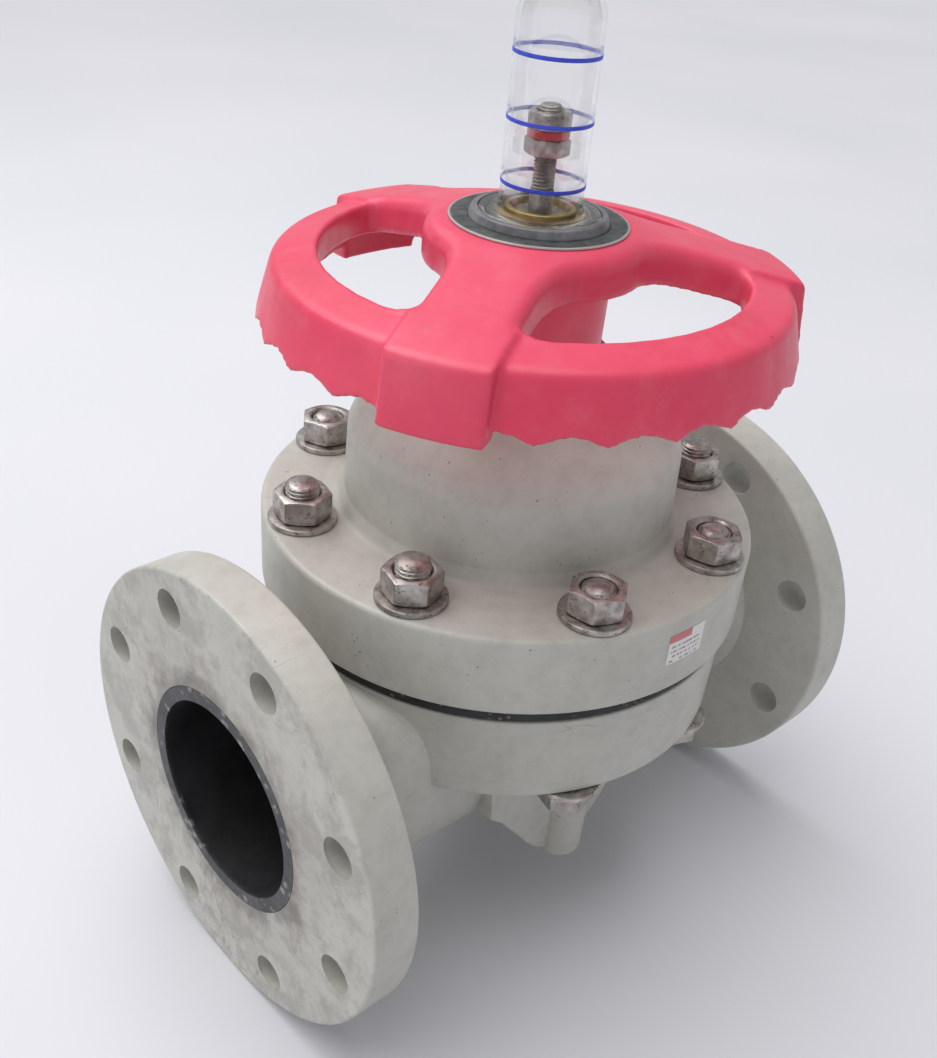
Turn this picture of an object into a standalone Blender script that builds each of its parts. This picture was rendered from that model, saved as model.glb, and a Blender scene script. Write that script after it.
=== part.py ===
"""Flanged weir diaphragm valve, nominal bore 100 mm, moulded in polypropylene.

Metres, +Z up. The pipe runs along X, and the stem stands on Z. The origin lies under the
stem, on the surface that the rims of the two pipe flanges stand on. Sizes below are in
millimetres, with heights counted from the axis of the pipe, and every object hangs on one
empty at that axis.
"""

import math

import bmesh
import bpy
from mathutils import Matrix, Vector

MM = 0.001
GAP = 0.3                      # left between pieces that touch

# Pipe flanges and face to face length
FACE_TO_FACE = 340.0
FLANGE_OD = 229.0
FLANGE_THICK = 24.0
FLANGE_PCD = 190.5
FLANGE_HOLES = 8
FLANGE_HOLE_D = 19.0
FLANGE_EDGE = 2.0              # rounding of the rims

# Passage, its lining and the weir
BORE_D = 100.0
LINING = 3.0
LINING_LIP_R = BORE_D / 2 + 7.0  # its ring on each pipe face
LINING_LIP_T = 6.0
WEIR_CREST_Z = 14.0
WEIR_CREST_HALF = 12.0
WEIR_ROOT_HALF = 55.0
SEAT_D = 150.0                 # mouth of the bowl under the diaphragm

# Body
NECK_R = BORE_D / 2 + LINING + 9.5
NECK_END_R = BORE_D / 2 + LINING + 6.0
BODY_FLANGE_R = 117.0
BODY_FLANGE_BOTTOM_R = 115.5
BODY_TOP_Z = BORE_D / 2 + 9.8
BODY_FLANGE_THICK = 46.2
SHOULDER_DROP = 0.5
FOOT_Y = 66.0
FOOT_R = 13.0
FOOT_BOTTOM_Z = -80.0
FOOT_WEB_THICK = 18.0
FOOT_INSERT_R = 5.5
FOOT_INSERT_LEN = 14.0

# Diaphragm
DIAPHRAGM_EDGE = 8.1           # room between body and bonnet
DIAPHRAGM_WEB = 6.0
DIAPHRAGM_FLAT_R = 42.0

# Bonnet
BONNET_R = 121.0
BONNET_FLANGE_THICK = 39.1
BONNET_WALL_R = 80.0
BONNET_CAVITY_R = 72.0
BONNET_SHOULDER_Z = 150.0
BONNET_TOP_Z = 188.0
BONNET_TOP_R = 39.0
BONNET_ROOF = 12.0

# Bonnet bolting
BOLT_D = 16.0
BOLT_PCD = 207.4
BOLT_COUNT = 8
BOLT_HOLE_D = BOLT_D + 2.0
NUT_AF = 24.0
NUT_H = 12.0
HEAD_H = 9.7
WASHER_R = 16.3
WASHER_T = 2.8
NUT_TURNS = (33, 8, 52, 18, 18, 37, 46, 39)   # where each nut came to rest
STUD_END = 5.0                 # thread over the nut
BOLT_END = 1.0                 # domed end over the nut
STUD_INSERT_WALL = 2.6
STUD_INSERT_LEN = 12.0

# Stem, sleeve and bearings
LIFT_SHUT = 21.0               # stem travel left before the valve is shut
LIFT_OPEN = 30.0               # stem travel left before it is wide open
STEM_R = 13.0
STEM_TOP_Z = 249.0
ROD_R = 4.9
ROD_SMOOTH_R = 5.2
ROD_SMOOTH_TOP_Z = 263.0
ROD_TOP_Z = 293.0
SLEEVE_R = STEM_R + 6.6
SLEEVE_TOP_Z = 251.5
COLLAR_R = SLEEVE_R + 6.9
COLLAR_T = 6.0
THRUST_RING_T = 3.2
RETAINER_T = 8.0
O_RING_R = 1.3
JOINT_R = 17.0
JOINT_LEN = 34.0
JOINT_PROUD = 4.0
SPIGOT_R = 9.0
PIN_R = 5.0
PIN_HALF = 23.0
COMPRESSOR_H = 50.0
COMPRESSOR_R = 48.0
COMPRESSOR_EDGE = 6.0
FIN_T = 9.0
FIN_H = 12.0
FIN_REACH = 66.0
RAIL_T = 4.5
RAIL_PLAY = 0.8

# Nameplate, ring nut, gauge cover and indicator
COVER_WALL = 2.0
COVER_R = STEM_R + COVER_WALL + 3.2
COVER_FLANGE_R = COVER_R + 8.6
COVER_FLANGE_T = 5.0
SEAT_RING_R = COVER_FLANGE_R + 4.2
SEAT_RING_T = 4.5
PLATE_R = SEAT_RING_R + 8.6
PLATE_T = 0.8
COVER_TOP_Z = 343.0
RING_NUT_R = SLEEVE_R + 10.4
RING_NUT_T = 7.0
INDICATOR_NUT_AF = 17.0
INDICATOR_NUT_H = 7.0
INDICATOR_DISC_R = 9.2
INDICATOR_DISC_T = 3.0
INDICATOR_Z = 273.0            # underside of the lower indicator nut

# Handwheel
WHEEL_HUB_Z = 245.0
WHEEL_HUB_R = PLATE_R + 2.4
WHEEL_RIM_Z = 225.0
WHEEL_RIM_TOP_R = 115.0
WHEEL_RIM_R = 122.5
WHEEL_RIM_BOTTOM_Z = 200.0
WHEEL_WALL = 5.0
WHEEL_SKIN = 6.0
WHEEL_BOSS_R = RING_NUT_R + 5.0
WHEEL_BOSS_Z = 190.5
WHEEL_WALL_DEPTH = 17.0
SPOKES = 3
SPOKE_ANGLE = 88.0
SPOKE_HALF = 20.0
WINDOW_IN_R = 50.0
WINDOW_OUT_R = 95.0
WINDOW_SQUARENESS = 3.6
LUG_R = 126.5
LUG_HALF = 23.0
LUG_BOTTOM_Z = 195.5
WAVES = 27
WAVE_HEIGHT = 1.8

# Levels and radii that follow from the sizes above
PIPE_AXIS_Z = FLANGE_OD / 2
HALF_LENGTH = FACE_TO_FACE / 2
BORE_R = BORE_D / 2
BODY_FLANGE_Z = BODY_TOP_Z - BODY_FLANGE_THICK
BONNET_Z = BODY_TOP_Z + DIAPHRAGM_EDGE
BONNET_FLANGE_TOP_Z = BONNET_Z + BONNET_FLANGE_THICK
BOLT_R = BOLT_D / 2
WASHER_Z = BONNET_FLANGE_TOP_Z + GAP
NUT_Z = WASHER_Z + WASHER_T + GAP
NUT_TOP_Z = NUT_Z + NUT_H
SEAT_RISE = BODY_TOP_Z - WEIR_CREST_Z
BOWL_R = ((SEAT_D / 2) ** 2 + SEAT_RISE ** 2) / (2 * SEAT_RISE)
BOWL_Z = WEIR_CREST_Z + BOWL_R
DIAPHRAGM_LOW_Z = WEIR_CREST_Z + LIFT_SHUT
COMPRESSOR_Z = DIAPHRAGM_LOW_Z + DIAPHRAGM_WEB + GAP
COMPRESSOR_TOP_Z = COMPRESSOR_Z + COMPRESSOR_H
JOINT_Z = COMPRESSOR_TOP_Z + JOINT_PROUD - JOINT_LEN
PIN_Z = JOINT_Z + 2 * PIN_R + 1.0
SPIGOT_Z = PIN_Z + PIN_R + 3.0
THRUST_Z = BONNET_TOP_Z - RETAINER_T - 2 * THRUST_RING_T - COLLAR_T - 4 * GAP
COLLAR_Z = THRUST_Z + THRUST_RING_T + GAP
UPPER_THRUST_Z = COLLAR_Z + COLLAR_T + GAP
RETAINER_Z = UPPER_THRUST_Z + THRUST_RING_T + GAP
BEARING_R = COLLAR_R + 3.5
RIM_SLOPE = (WHEEL_HUB_Z - WHEEL_RIM_Z) / (LUG_R - WHEEL_HUB_R)
RING_NUT_Z = WHEEL_HUB_Z - RING_NUT_T - GAP
COVER_Z = WHEEL_HUB_Z + 2 * GAP
COVER_BORE_R = COVER_R - COVER_WALL

STEPS = 40                     # facets round the large discs
ROUND_STEPS = 20               # and round the smaller turned pieces
WHEEL_STEPS = 2 * WAVES
HOLE_STEPS = 10
WASHER_STEPS = 12

for old in list(bpy.data.objects):
    bpy.data.objects.remove(old, do_unlink=True)

parts = bpy.data.collections.new("diaphragm_valve")
cutters = bpy.data.collections.new("cutters")
for collection in (parts, cutters):
    bpy.context.scene.collection.children.link(collection)

pipe_axis = bpy.data.objects.new("pipe_axis", None)
pipe_axis.location.z = PIPE_AXIS_Z * MM
parts.objects.link(pipe_axis)


# ---- Materials ---------------------------------------------------------------------

def material(name, colour, roughness, metallic=0.0, alpha=1.0):
    made = bpy.data.materials.new(name)
    made.use_nodes = True
    shader = made.node_tree.nodes["Principled BSDF"]
    shader.inputs["Base Color"].default_value = (*colour, 1.0)
    shader.inputs["Roughness"].default_value = roughness
    shader.inputs["Metallic"].default_value = metallic
    shader.inputs["Alpha"].default_value = alpha
    return made


GREY_PP = material("grey_polypropylene", (0.50, 0.50, 0.45), 0.45)
RED_PP = material("red_polypropylene", (0.80, 0.06, 0.08), 0.35)
BLACK_LINING = material("black_lining", (0.015, 0.015, 0.017), 0.5)
RUBBER = material("black_rubber", (0.02, 0.02, 0.022), 0.7)
COMPRESSOR_PLASTIC = material("dark_polymer", (0.05, 0.05, 0.055), 0.5)
STAINLESS = material("stainless_steel", (0.56, 0.54, 0.51), 0.3, 1.0)
BRASS = material("brass", (0.62, 0.46, 0.20), 0.35, 1.0)
BEARING_PLASTIC = material("acetal", (0.75, 0.73, 0.66), 0.4)
PLATE_BLACK = material("anodised_plate", (0.03, 0.035, 0.035), 0.4, 0.6)
SEAT_BLACK = material("black_polymer", (0.04, 0.04, 0.05), 0.35)
CLEAR = material("clear_polycarbonate", (0.9, 0.92, 0.93), 0.05, 0.0, 0.3)
DISC_RED = material("red_polymer", (0.6, 0.02, 0.03), 0.4)


# ---- Making solids, all in millimetres from the pipe axis ---------------------------

def as_object(name, mesh):
    """A cutter or a stock piece: it stays out of the model until finish() is called."""
    made = bpy.data.objects.new(name, mesh)
    cutters.objects.link(made)
    made.hide_render = True
    made.display_type = "WIRE"
    return made


def from_bmesh(name, shape):
    shape.normal_update()
    bmesh.ops.recalc_face_normals(shape, faces=shape.faces)
    mesh = bpy.data.meshes.new(name)
    shape.to_mesh(mesh)
    shape.free()
    return as_object(name, mesh)


def evaluated_mesh(source):
    """The object's mesh with its modifiers worked in and its doubles merged."""
    graph = bpy.context.evaluated_depsgraph_get()
    mesh = bpy.data.meshes.new_from_object(source.evaluated_get(graph))
    shape = bmesh.new()
    shape.from_mesh(mesh)
    bmesh.ops.remove_doubles(shape, verts=shape.verts, dist=1e-7)
    shape.to_mesh(mesh)
    shape.free()
    return mesh


def cylinder(name, radius, low, high, centre=(0.0, 0.0), steps=STEPS, axis="Z", turn=0.0):
    """A cylinder from low to high along an axis, in place.

    Its first corner lies on +X, as a turned shape's does, so their facets run together.
    """
    shape = bmesh.new()
    lift = Matrix.Translation((centre[0] * MM, centre[1] * MM, (low + high) / 2 * MM))
    bmesh.ops.create_cone(
        shape, cap_ends=True, segments=steps, radius1=radius * MM,
        radius2=radius * MM, depth=(high - low) * MM,
        matrix=lift @ Matrix.Rotation(math.radians(turn - 90.0), 4, "Z"))
    if axis == "X":
        shape.transform(Matrix.Rotation(math.pi / 2, 4, "Y"))
    if axis == "Y":
        shape.transform(Matrix.Rotation(-math.pi / 2, 4, "X"))
    return from_bmesh(name, shape)


def box(name, low, high):
    shape = bmesh.new()
    bmesh.ops.create_cube(shape, size=1.0)
    size = Vector(high) - Vector(low)
    middle = (Vector(high) + Vector(low)) / 2
    bmesh.ops.scale(shape, vec=size * MM, verts=shape.verts)
    bmesh.ops.translate(shape, vec=middle * MM, verts=shape.verts)
    return from_bmesh(name, shape)


def turned(name, outline, steps=STEPS, ring=True):
    """A profile of (radius, height) points turned about Z.

    The points run down the outer side first. A ring's profile is a closed loop, and the
    others start and end on the axis.
    """
    points = [(r * MM, 0.0, z * MM) for r, z in outline]
    edges = [(i, i + 1) for i in range(len(points) - 1)]
    if ring:
        edges.append((len(points) - 1, 0))
    mesh = bpy.data.meshes.new(name + "_profile")
    mesh.from_pydata(points, edges, [])
    profile = as_object(name + "_profile", mesh)
    screw = profile.modifiers.new("Turn", "SCREW")
    screw.steps = screw.render_steps = steps
    screw.use_merge_vertices = True
    screw.merge_threshold = 1e-6
    made = as_object(name, evaluated_mesh(profile))
    bpy.data.objects.remove(profile, do_unlink=True)
    shape = bmesh.new()
    shape.from_mesh(made.data)
    bmesh.ops.recalc_face_normals(shape, faces=shape.faces)
    shape.to_mesh(made.data)
    shape.free()
    return made


def prism(name, outline, low, high, plane="XY"):
    """A flat outline in the XY or XZ plane, given thickness from low to high."""
    curve = bpy.data.curves.new(name + "_outline", "CURVE")
    curve.dimensions = "2D"
    curve.fill_mode = "BOTH"
    curve.extrude = (high - low) / 2 * MM
    spline = curve.splines.new("POLY")
    spline.points.add(len(outline) - 1)
    for point, (u, v) in zip(spline.points, outline):
        point.co = (u * MM, v * MM, 0.0, 1.0)
    spline.use_cyclic_u = True
    flat = as_object(name + "_outline", curve)
    mesh = evaluated_mesh(flat)
    bpy.data.objects.remove(flat, do_unlink=True)
    if plane == "XY":
        place = Matrix.Translation((0.0, 0.0, (low + high) / 2 * MM))
    else:
        place = Matrix.Translation((0.0, (low + high) / 2 * MM, 0.0))
        place = place @ Matrix.Rotation(math.pi / 2, 4, "X")
    mesh.transform(place)
    shape = bmesh.new()
    shape.from_mesh(mesh)
    bmesh.ops.remove_doubles(shape, verts=shape.verts, dist=1e-7)
    bpy.data.meshes.remove(mesh)
    return from_bmesh(name, shape)


def loft(name, sections):
    """Closed rings of equal point count, joined one to the next and capped."""
    shape = bmesh.new()
    rings = [[shape.verts.new(Vector(p) * MM) for p in section] for section in sections]
    count = len(rings[0])
    for ring, after in zip(rings, rings[1:]):
        for i in range(count):
            j = (i + 1) % count
            shape.faces.new((ring[i], ring[j], after[j], after[i]))
    shape.faces.new(rings[0])
    shape.faces.new(rings[-1])
    return from_bmesh(name, shape)


def group(name, pieces):
    """Separate bodies gathered into one object."""
    shape = bmesh.new()
    for piece in pieces:
        shape.from_mesh(piece.data)
        bpy.data.objects.remove(piece, do_unlink=True)
    mesh = bpy.data.meshes.new(name)
    shape.to_mesh(mesh)
    shape.free()
    return as_object(name, mesh)


def combine(target, other, how):
    """Booleans are worked in at once, and the second piece is used up."""
    step = target.modifiers.new(how.title(), "BOOLEAN")
    step.operation = how
    step.solver = "EXACT"
    step.object = other
    mesh = evaluated_mesh(target)
    target.modifiers.clear()
    old = target.data
    target.data = mesh
    bpy.data.meshes.remove(old)
    bpy.data.objects.remove(other, do_unlink=True)
    return target


def join(target, *others):
    for other in others:
        combine(target, other, "UNION")
    return target


def cut(target, *others):
    for other in others:
        combine(target, other, "DIFFERENCE")
    return target


def moved(piece, place, height=0.0):
    piece.data.transform(Matrix.Translation((place[0] * MM, place[1] * MM, height * MM)))
    return piece


def keep_common(target, other):
    return combine(target, other, "INTERSECT")


def turned_copies(piece, name, angles):
    """One body for each angle about the stem, and the first piece is used up."""
    copies = []
    for number, angle in enumerate(angles):
        mesh = piece.data.copy()
        mesh.transform(Matrix.Rotation(math.radians(angle), 4, "Z"))
        copies.append(as_object(f"{name}_{number}", mesh))
    bpy.data.objects.remove(piece, do_unlink=True)
    return group(name, copies)


def finish(made, name, look, smooth=35.0):
    """The piece becomes a node of the valve, with its look."""
    cutters.objects.unlink(made)
    parts.objects.link(made)
    made.name = name
    made.data.name = name
    made.hide_render = False
    made.display_type = "TEXTURED"
    made.parent = pipe_axis
    made.data.materials.clear()
    made.data.materials.append(look)
    made.data.shade_smooth()
    made.data.set_sharp_from_angle(angle=math.radians(smooth))
    return made


# ---- Bolt places --------------------------------------------------------------------

BOLT_ANGLES = [22.5 + 360.0 / BOLT_COUNT * k for k in range(BOLT_COUNT)]
# Over the necks there is no way through the body, so studs stand there.
STUD_ANGLES = [a for a in BOLT_ANGLES if abs(math.cos(math.radians(a))) > 0.7]
THROUGH_ANGLES = [a for a in BOLT_ANGLES if a not in STUD_ANGLES]


def bolt_places(angles):
    radius = BOLT_PCD / 2
    return [(radius * math.cos(math.radians(a)), radius * math.sin(math.radians(a)))
            for a in angles]


def bolt_holes(name, angles, radius, low, high):
    return group(name, [cylinder(f"{name}_{i}", radius, low, high, place, HOLE_STEPS)
                        for i, place in enumerate(bolt_places(angles))])


def hexagon(name, across_flats, low, high, centre=(0.0, 0.0), turn=0.0):
    corner = across_flats / math.sqrt(3.0)
    return cylinder(name, corner, low, high, centre, steps=6, turn=turn)


# ---- Body, lining and the passage between them --------------------------------------

def passage(name, grow):
    """The straight bore and the bowl, less the weir, grown by the given distance."""
    reach = HALF_LENGTH + 5.0
    bore = cylinder(name, BORE_R + grow, -reach, reach, axis="X", steps=28)
    crest = WEIR_CREST_HALF - grow
    root = WEIR_ROOT_HALF - grow
    depth = BORE_R + grow + 5.0
    weir = prism("weir", [(-root, -depth), (root, -depth), (crest, 45.0), (-crest, 45.0)],
                 -depth - 20.0, depth + 20.0, plane="XZ")
    cut(bore, weir)
    shape = bmesh.new()
    bmesh.ops.create_uvsphere(shape, u_segments=28, v_segments=14,
                              radius=(BOWL_R + grow) * MM,
                              matrix=Matrix.Translation((0.0, 0.0, BOWL_Z * MM)))
    bowl = from_bmesh("bowl", shape)
    return join(bore, bowl)


def lips(grow):
    """The lining's rings on the two pipe faces, or the recesses for them."""
    deep = HALF_LENGTH - LINING_LIP_T - grow
    out = HALF_LENGTH + 2.0
    return [cylinder("lip", LINING_LIP_R + grow, low, high, axis="X")
            for low, high in ((-out, -deep), (deep, out))]


def neck_section(x, half_width, top, squareness):
    """Round below, and squarer above where it carries the body flange's shoulder."""
    points = []
    count = 24
    for i in range(count):
        angle = 2 * math.pi * i / count
        c = math.cos(angle)
        s = math.sin(angle)
        power = 2.0 / squareness if s > 0.0 else 1.0
        y = half_width * math.copysign(abs(c) ** power, c)
        z = (top if s > 0.0 else half_width) * math.copysign(abs(s) ** power, s)
        points.append((x, y, z))
    return points


def neck():
    shoulder = BODY_TOP_Z - SHOULDER_DROP
    back = HALF_LENGTH - FLANGE_THICK
    half = [(back + 2.0, NECK_END_R, NECK_END_R, 2.0),
            (back - 18.0, NECK_END_R + 1.0, NECK_END_R - 0.5, 2.1),
            (BONNET_R + 1.0, NECK_R, shoulder - 0.8, 3.2),
            (BONNET_R - 5.0, NECK_R + 0.5, shoulder, 4.0),
            (BONNET_R / 2, NECK_R + 0.8, shoulder, 4.0)]
    whole = [(-x, w, t, n) for x, w, t, n in half]
    whole += list(reversed(half))
    return loft("neck", [neck_section(*values) for values in whole])


def pipe_flange(side):
    """A disc with rounded rims, whose face is the end of the valve."""
    face = HALF_LENGTH
    back = face - FLANGE_THICK
    rim = FLANGE_OD / 2
    edge = FLANGE_EDGE
    outline = [(0.0, face), (rim - edge, face), (rim, face - edge), (rim, back + edge),
               (rim - edge, back), (0.0, back)]
    made = turned("pipe_flange", outline, ring=False)
    # A flat of the facets lies at the bottom, so that the valve stands on it.
    made.data.transform(Matrix.Rotation(math.pi / STEPS, 4, "Z"))
    made.data.transform(Matrix.Rotation(side * math.pi / 2, 4, "Y"))
    return made


def pipe_flange_holes():
    made = []
    for side in (-1, 1):
        low = HALF_LENGTH - FLANGE_THICK - 3.0
        high = HALF_LENGTH + 3.0
        for k in range(FLANGE_HOLES):
            angle = math.radians(360.0 / FLANGE_HOLES * (k + 0.5))
            place = (FLANGE_PCD / 2 * math.cos(angle), FLANGE_PCD / 2 * math.sin(angle))
            hole = cylinder("hole", FLANGE_HOLE_D / 2, low, high, place, HOLE_STEPS)
            hole.data.transform(Matrix.Rotation(side * math.pi / 2, 4, "Y"))
            made.append(hole)
    return group("pipe_flange_holes", made)


def foot(side):
    """A round post under the body flange, with a web to the neck on both sides."""
    low = FOOT_BOTTOM_Z
    post = turned("post", [(0.0, 30.0), (FOOT_R, 30.0), (FOOT_R, low + 3.0),
                           (FOOT_R - 0.9, low + 0.9), (FOOT_R - 3.0, low), (0.0, low)],
                  steps=ROUND_STEPS, ring=False)
    moved(post, (0.0, side * FOOT_Y))
    half = [(FOOT_R - 6.0, low + 3.0), (FOOT_R + 7.0, low + 8.0), (FOOT_R + 20.0, low + 23.0),
            (FOOT_R + 32.0, low + 38.0), (FOOT_R + 46.0, low + 53.0), (FOOT_R + 50.0, 22.0)]
    outline = [(-x, z) for x, z in half] + list(reversed(half))
    middle = side * (FOOT_Y - FOOT_WEB_THICK / 2 + 3.0)
    web = prism("web", outline, middle - FOOT_WEB_THICK / 2, middle + FOOT_WEB_THICK / 2,
                plane="XZ")
    return join(post, web)


def body():
    rim = BODY_FLANGE_R
    low = BODY_FLANGE_Z
    made = turned("body", [(0.0, BODY_TOP_Z), (rim, BODY_TOP_Z), (BODY_FLANGE_BOTTOM_R, low),
                           (0.0, low)], ring=False)
    join(made, neck(), pipe_flange(-1), pipe_flange(1), foot(-1), foot(1))
    cut(made, passage("body_passage", LINING + GAP), *lips(GAP))
    cut(made, pipe_flange_holes())
    cut(made, bolt_holes("through_holes", THROUGH_ANGLES, BOLT_HOLE_D / 2, low - 3.0,
                         BODY_TOP_Z + 3.0))
    insert_r = BOLT_R + STUD_INSERT_WALL + GAP
    cut(made, bolt_holes("stud_holes", STUD_ANGLES, insert_r, BODY_TOP_Z - STUD_INSERT_LEN - 1.0,
                         BODY_TOP_Z + 3.0))
    for side in (-1, 1):
        top = FOOT_BOTTOM_Z + FOOT_INSERT_LEN + 2 * GAP
        cut(made, cylinder("foot_hole", FOOT_INSERT_R + GAP, FOOT_BOTTOM_Z - 3.0, top,
                           (0.0, side * FOOT_Y), HOLE_STEPS))
    return finish(made, "body", GREY_PP)


def body_liner():
    """The black lining of the passage, which shows as a ring on each pipe face."""
    made = join(passage("liner", LINING), *lips(0.0))
    keep_common(made, box("limit", (-HALF_LENGTH, -HALF_LENGTH, -HALF_LENGTH),
                          (HALF_LENGTH, HALF_LENGTH, BODY_TOP_Z - GAP)))
    cut(made, passage("liner_bore", 0.0))
    return finish(made, "body_liner", BLACK_LINING)


def foot_inserts():
    low = FOOT_BOTTOM_Z + GAP
    top = low + FOOT_INSERT_LEN
    bore = FOOT_INSERT_R - 2.2
    outline = [(bore, top), (FOOT_INSERT_R, top), (FOOT_INSERT_R, low), (bore, low)]
    for number, side in enumerate((-1, 1), 1):
        insert = moved(turned("insert", outline, steps=HOLE_STEPS), (0.0, side * FOOT_Y))
        finish(insert, f"foot_insert_{number}", BRASS)


# ---- Diaphragm, compressor and what carries them ------------------------------------

def diaphragm():
    """Flat where it is clamped, and dished down to the compressor in the middle."""
    top = BONNET_Z - GAP
    low = BODY_TOP_Z + GAP
    seat = SEAT_D / 2
    upper = []
    under = []
    count = 5
    for i in range(count):
        share = i / (count - 1)
        ease = 0.5 - 0.5 * math.cos(math.pi * share)
        radius = seat - 3.0 + (DIAPHRAGM_FLAT_R - seat + 3.0) * share
        under_z = low + (DIAPHRAGM_LOW_Z - low) * ease
        upper_z = top + (DIAPHRAGM_LOW_Z + DIAPHRAGM_WEB - top) * ease
        upper.append((radius, upper_z))
        under.append((radius, under_z))
    rim = BODY_FLANGE_R
    outline = [(0.0, DIAPHRAGM_LOW_Z + DIAPHRAGM_WEB)] + list(reversed(upper))
    outline += [(rim, top), (rim, low)] + under + [(0.0, DIAPHRAGM_LOW_Z)]
    made = turned("diaphragm", outline, steps=30, ring=False)
    cut(made, bolt_holes("diaphragm_holes", BOLT_ANGLES, BOLT_HOLE_D / 2, low - 3.0, top + 3.0))
    head = DIAPHRAGM_LOW_Z + DIAPHRAGM_WEB
    cut(made, cylinder("pocket", 10.0 + GAP, head - 2.5, head + 3.0, steps=HOLE_STEPS))
    return finish(made, "diaphragm", RUBBER)


def diaphragm_stud():
    """The steel stud moulded into the diaphragm's middle."""
    low = DIAPHRAGM_LOW_Z + DIAPHRAGM_WEB - 2.5 + GAP
    made = turned("stud", [(0.0, low + 16.0), (4.5, low + 16.0), (4.5, low + 2.0), (10.0, low + 2.0),
                           (10.0, low), (0.0, low)], steps=HOLE_STEPS, ring=False)
    return finish(made, "diaphragm_stud", STAINLESS)


def compressor():
    """Presses the diaphragm on the weir, so its underside has the bowl's curve.

    Two fins run in the bonnet's rails.
    """
    low = COMPRESSOR_Z
    top = COMPRESSOR_TOP_Z
    curve_r = BOWL_R - DIAPHRAGM_WEB - GAP
    underside = []
    count = 5
    for i in range(count):
        radius = COMPRESSOR_R * (1 - i / (count - 1))
        underside.append((radius, low + curve_r - math.sqrt(curve_r ** 2 - radius ** 2)))
    outline = [(0.0, top), (25.0, top), (26.0, top - 20.0),
               (COMPRESSOR_R, underside[0][1] + COMPRESSOR_EDGE)] + underside
    made = turned("compressor", outline, steps=ROUND_STEPS, ring=False)
    join(made, box("fins", (-FIN_T / 2, -FIN_REACH, top - FIN_H - 1.0),
                   (FIN_T / 2, FIN_REACH, top - 1.0)))
    cut(made, cylinder("joint_bore", JOINT_R + GAP, JOINT_Z - GAP, top + 5.0, steps=ROUND_STEPS))
    cut(made, cylinder("stud_bore", 4.5 + GAP, low - 5.0, low + 14.5, steps=HOLE_STEPS))
    cut(made, cross_pin(PIN_R + GAP, COMPRESSOR_R))
    return finish(made, "compressor", COMPRESSOR_PLASTIC)


def cross_pin(radius, reach):
    """The pin through joint and compressor, or the hole for it."""
    return moved(cylinder("pin", radius, -reach, reach, steps=HOLE_STEPS, axis="Y"), (0.0, 0.0), PIN_Z)


def compressor_pin():
    return finish(cross_pin(PIN_R, PIN_HALF), "compressor_pin", STAINLESS)


def stem_joint():
    """The block on the end of the stem that the pin holds in the compressor."""
    low = JOINT_Z
    made = cylinder("joint", JOINT_R, low, low + JOINT_LEN, steps=ROUND_STEPS)
    cut(made, cross_pin(PIN_R + GAP, COMPRESSOR_R))
    cut(made, cylinder("stem_bore", SPIGOT_R + GAP, SPIGOT_Z - GAP, low + JOINT_LEN + 5.0,
                       steps=ROUND_STEPS))
    return finish(made, "stem_joint", STAINLESS)


def stem():
    """The lifting screw, with the indicator's thin threaded rod on top."""
    shoulder = JOINT_Z + JOINT_LEN + GAP
    outline = [(0.0, ROD_TOP_Z), (ROD_R - 1.0, ROD_TOP_Z), (ROD_R, ROD_TOP_Z - 1.0),
               (ROD_R, ROD_SMOOTH_TOP_Z), (ROD_SMOOTH_R, ROD_SMOOTH_TOP_Z),
               (ROD_SMOOTH_R, STEM_TOP_Z), (STEM_R - 1.5, STEM_TOP_Z),
               (STEM_R, STEM_TOP_Z - 1.5), (STEM_R, shoulder), (SPIGOT_R, shoulder),
               (SPIGOT_R, SPIGOT_Z), (0.0, SPIGOT_Z)]
    return finish(turned("stem", outline, steps=ROUND_STEPS, ring=False), "stem", STAINLESS)


# ---- Bonnet and bearing --------------------------------------------------------------

def bonnet():
    """Flange, straight wall, sloping roof and the seat for the sleeve's bearing."""
    wall = BONNET_WALL_R
    top = BONNET_FLANGE_TOP_Z
    shoulder = BONNET_SHOULDER_Z
    rim = BONNET_R
    roof_r = wall - 23.0
    roof_z = BONNET_TOP_Z - 18.0
    outline = [(BEARING_R, BONNET_TOP_Z), (BONNET_TOP_R - 1.5, BONNET_TOP_Z),
               (BONNET_TOP_R + 1.5, BONNET_TOP_Z - 1.5), (roof_r, roof_z),
               (wall - 6.5, shoulder + 5.2), (wall - 1.7, shoulder + 1.8), (wall, shoulder - 3.0),
               (wall + 1.0, top + 6.5), (wall + 3.0, top + 2.2), (wall + 8.0, top),
               (rim - 2.0, top), (rim, top - 2.0), (rim, BONNET_Z),
               (SEAT_D / 2, BONNET_Z), (BONNET_CAVITY_R, BONNET_Z + 6.0),
               (BONNET_CAVITY_R, shoulder - BONNET_ROOF), (BONNET_CAVITY_R - 8.0, shoulder - 2.0),
               (roof_r - BONNET_ROOF, THRUST_Z - GAP - 12.0), (SLEEVE_R + 1.0, THRUST_Z - GAP - 12.0),
               (SLEEVE_R + 1.0, THRUST_Z - GAP), (BEARING_R, THRUST_Z - GAP)]
    made = turned("bonnet", outline)
    cut(made, bolt_holes("bonnet_holes", BOLT_ANGLES, BOLT_HOLE_D / 2, BONNET_Z - 3.0, top + 3.0))
    near = FIN_T / 2 + RAIL_PLAY
    rail_top = COMPRESSOR_TOP_Z + LIFT_OPEN + 5.0
    for side in (-1, 1):
        for face in (-1, 1):
            xs = sorted((face * near, face * (near + RAIL_T)))
            ys = sorted((side * (FIN_REACH - 10.0), side * (BONNET_CAVITY_R + 3.0)))
            join(made, box("rail", (xs[0], ys[0], BONNET_Z + 8.0), (xs[1], ys[1], rail_top)))
    return finish(made, "bonnet", GREY_PP)


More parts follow.
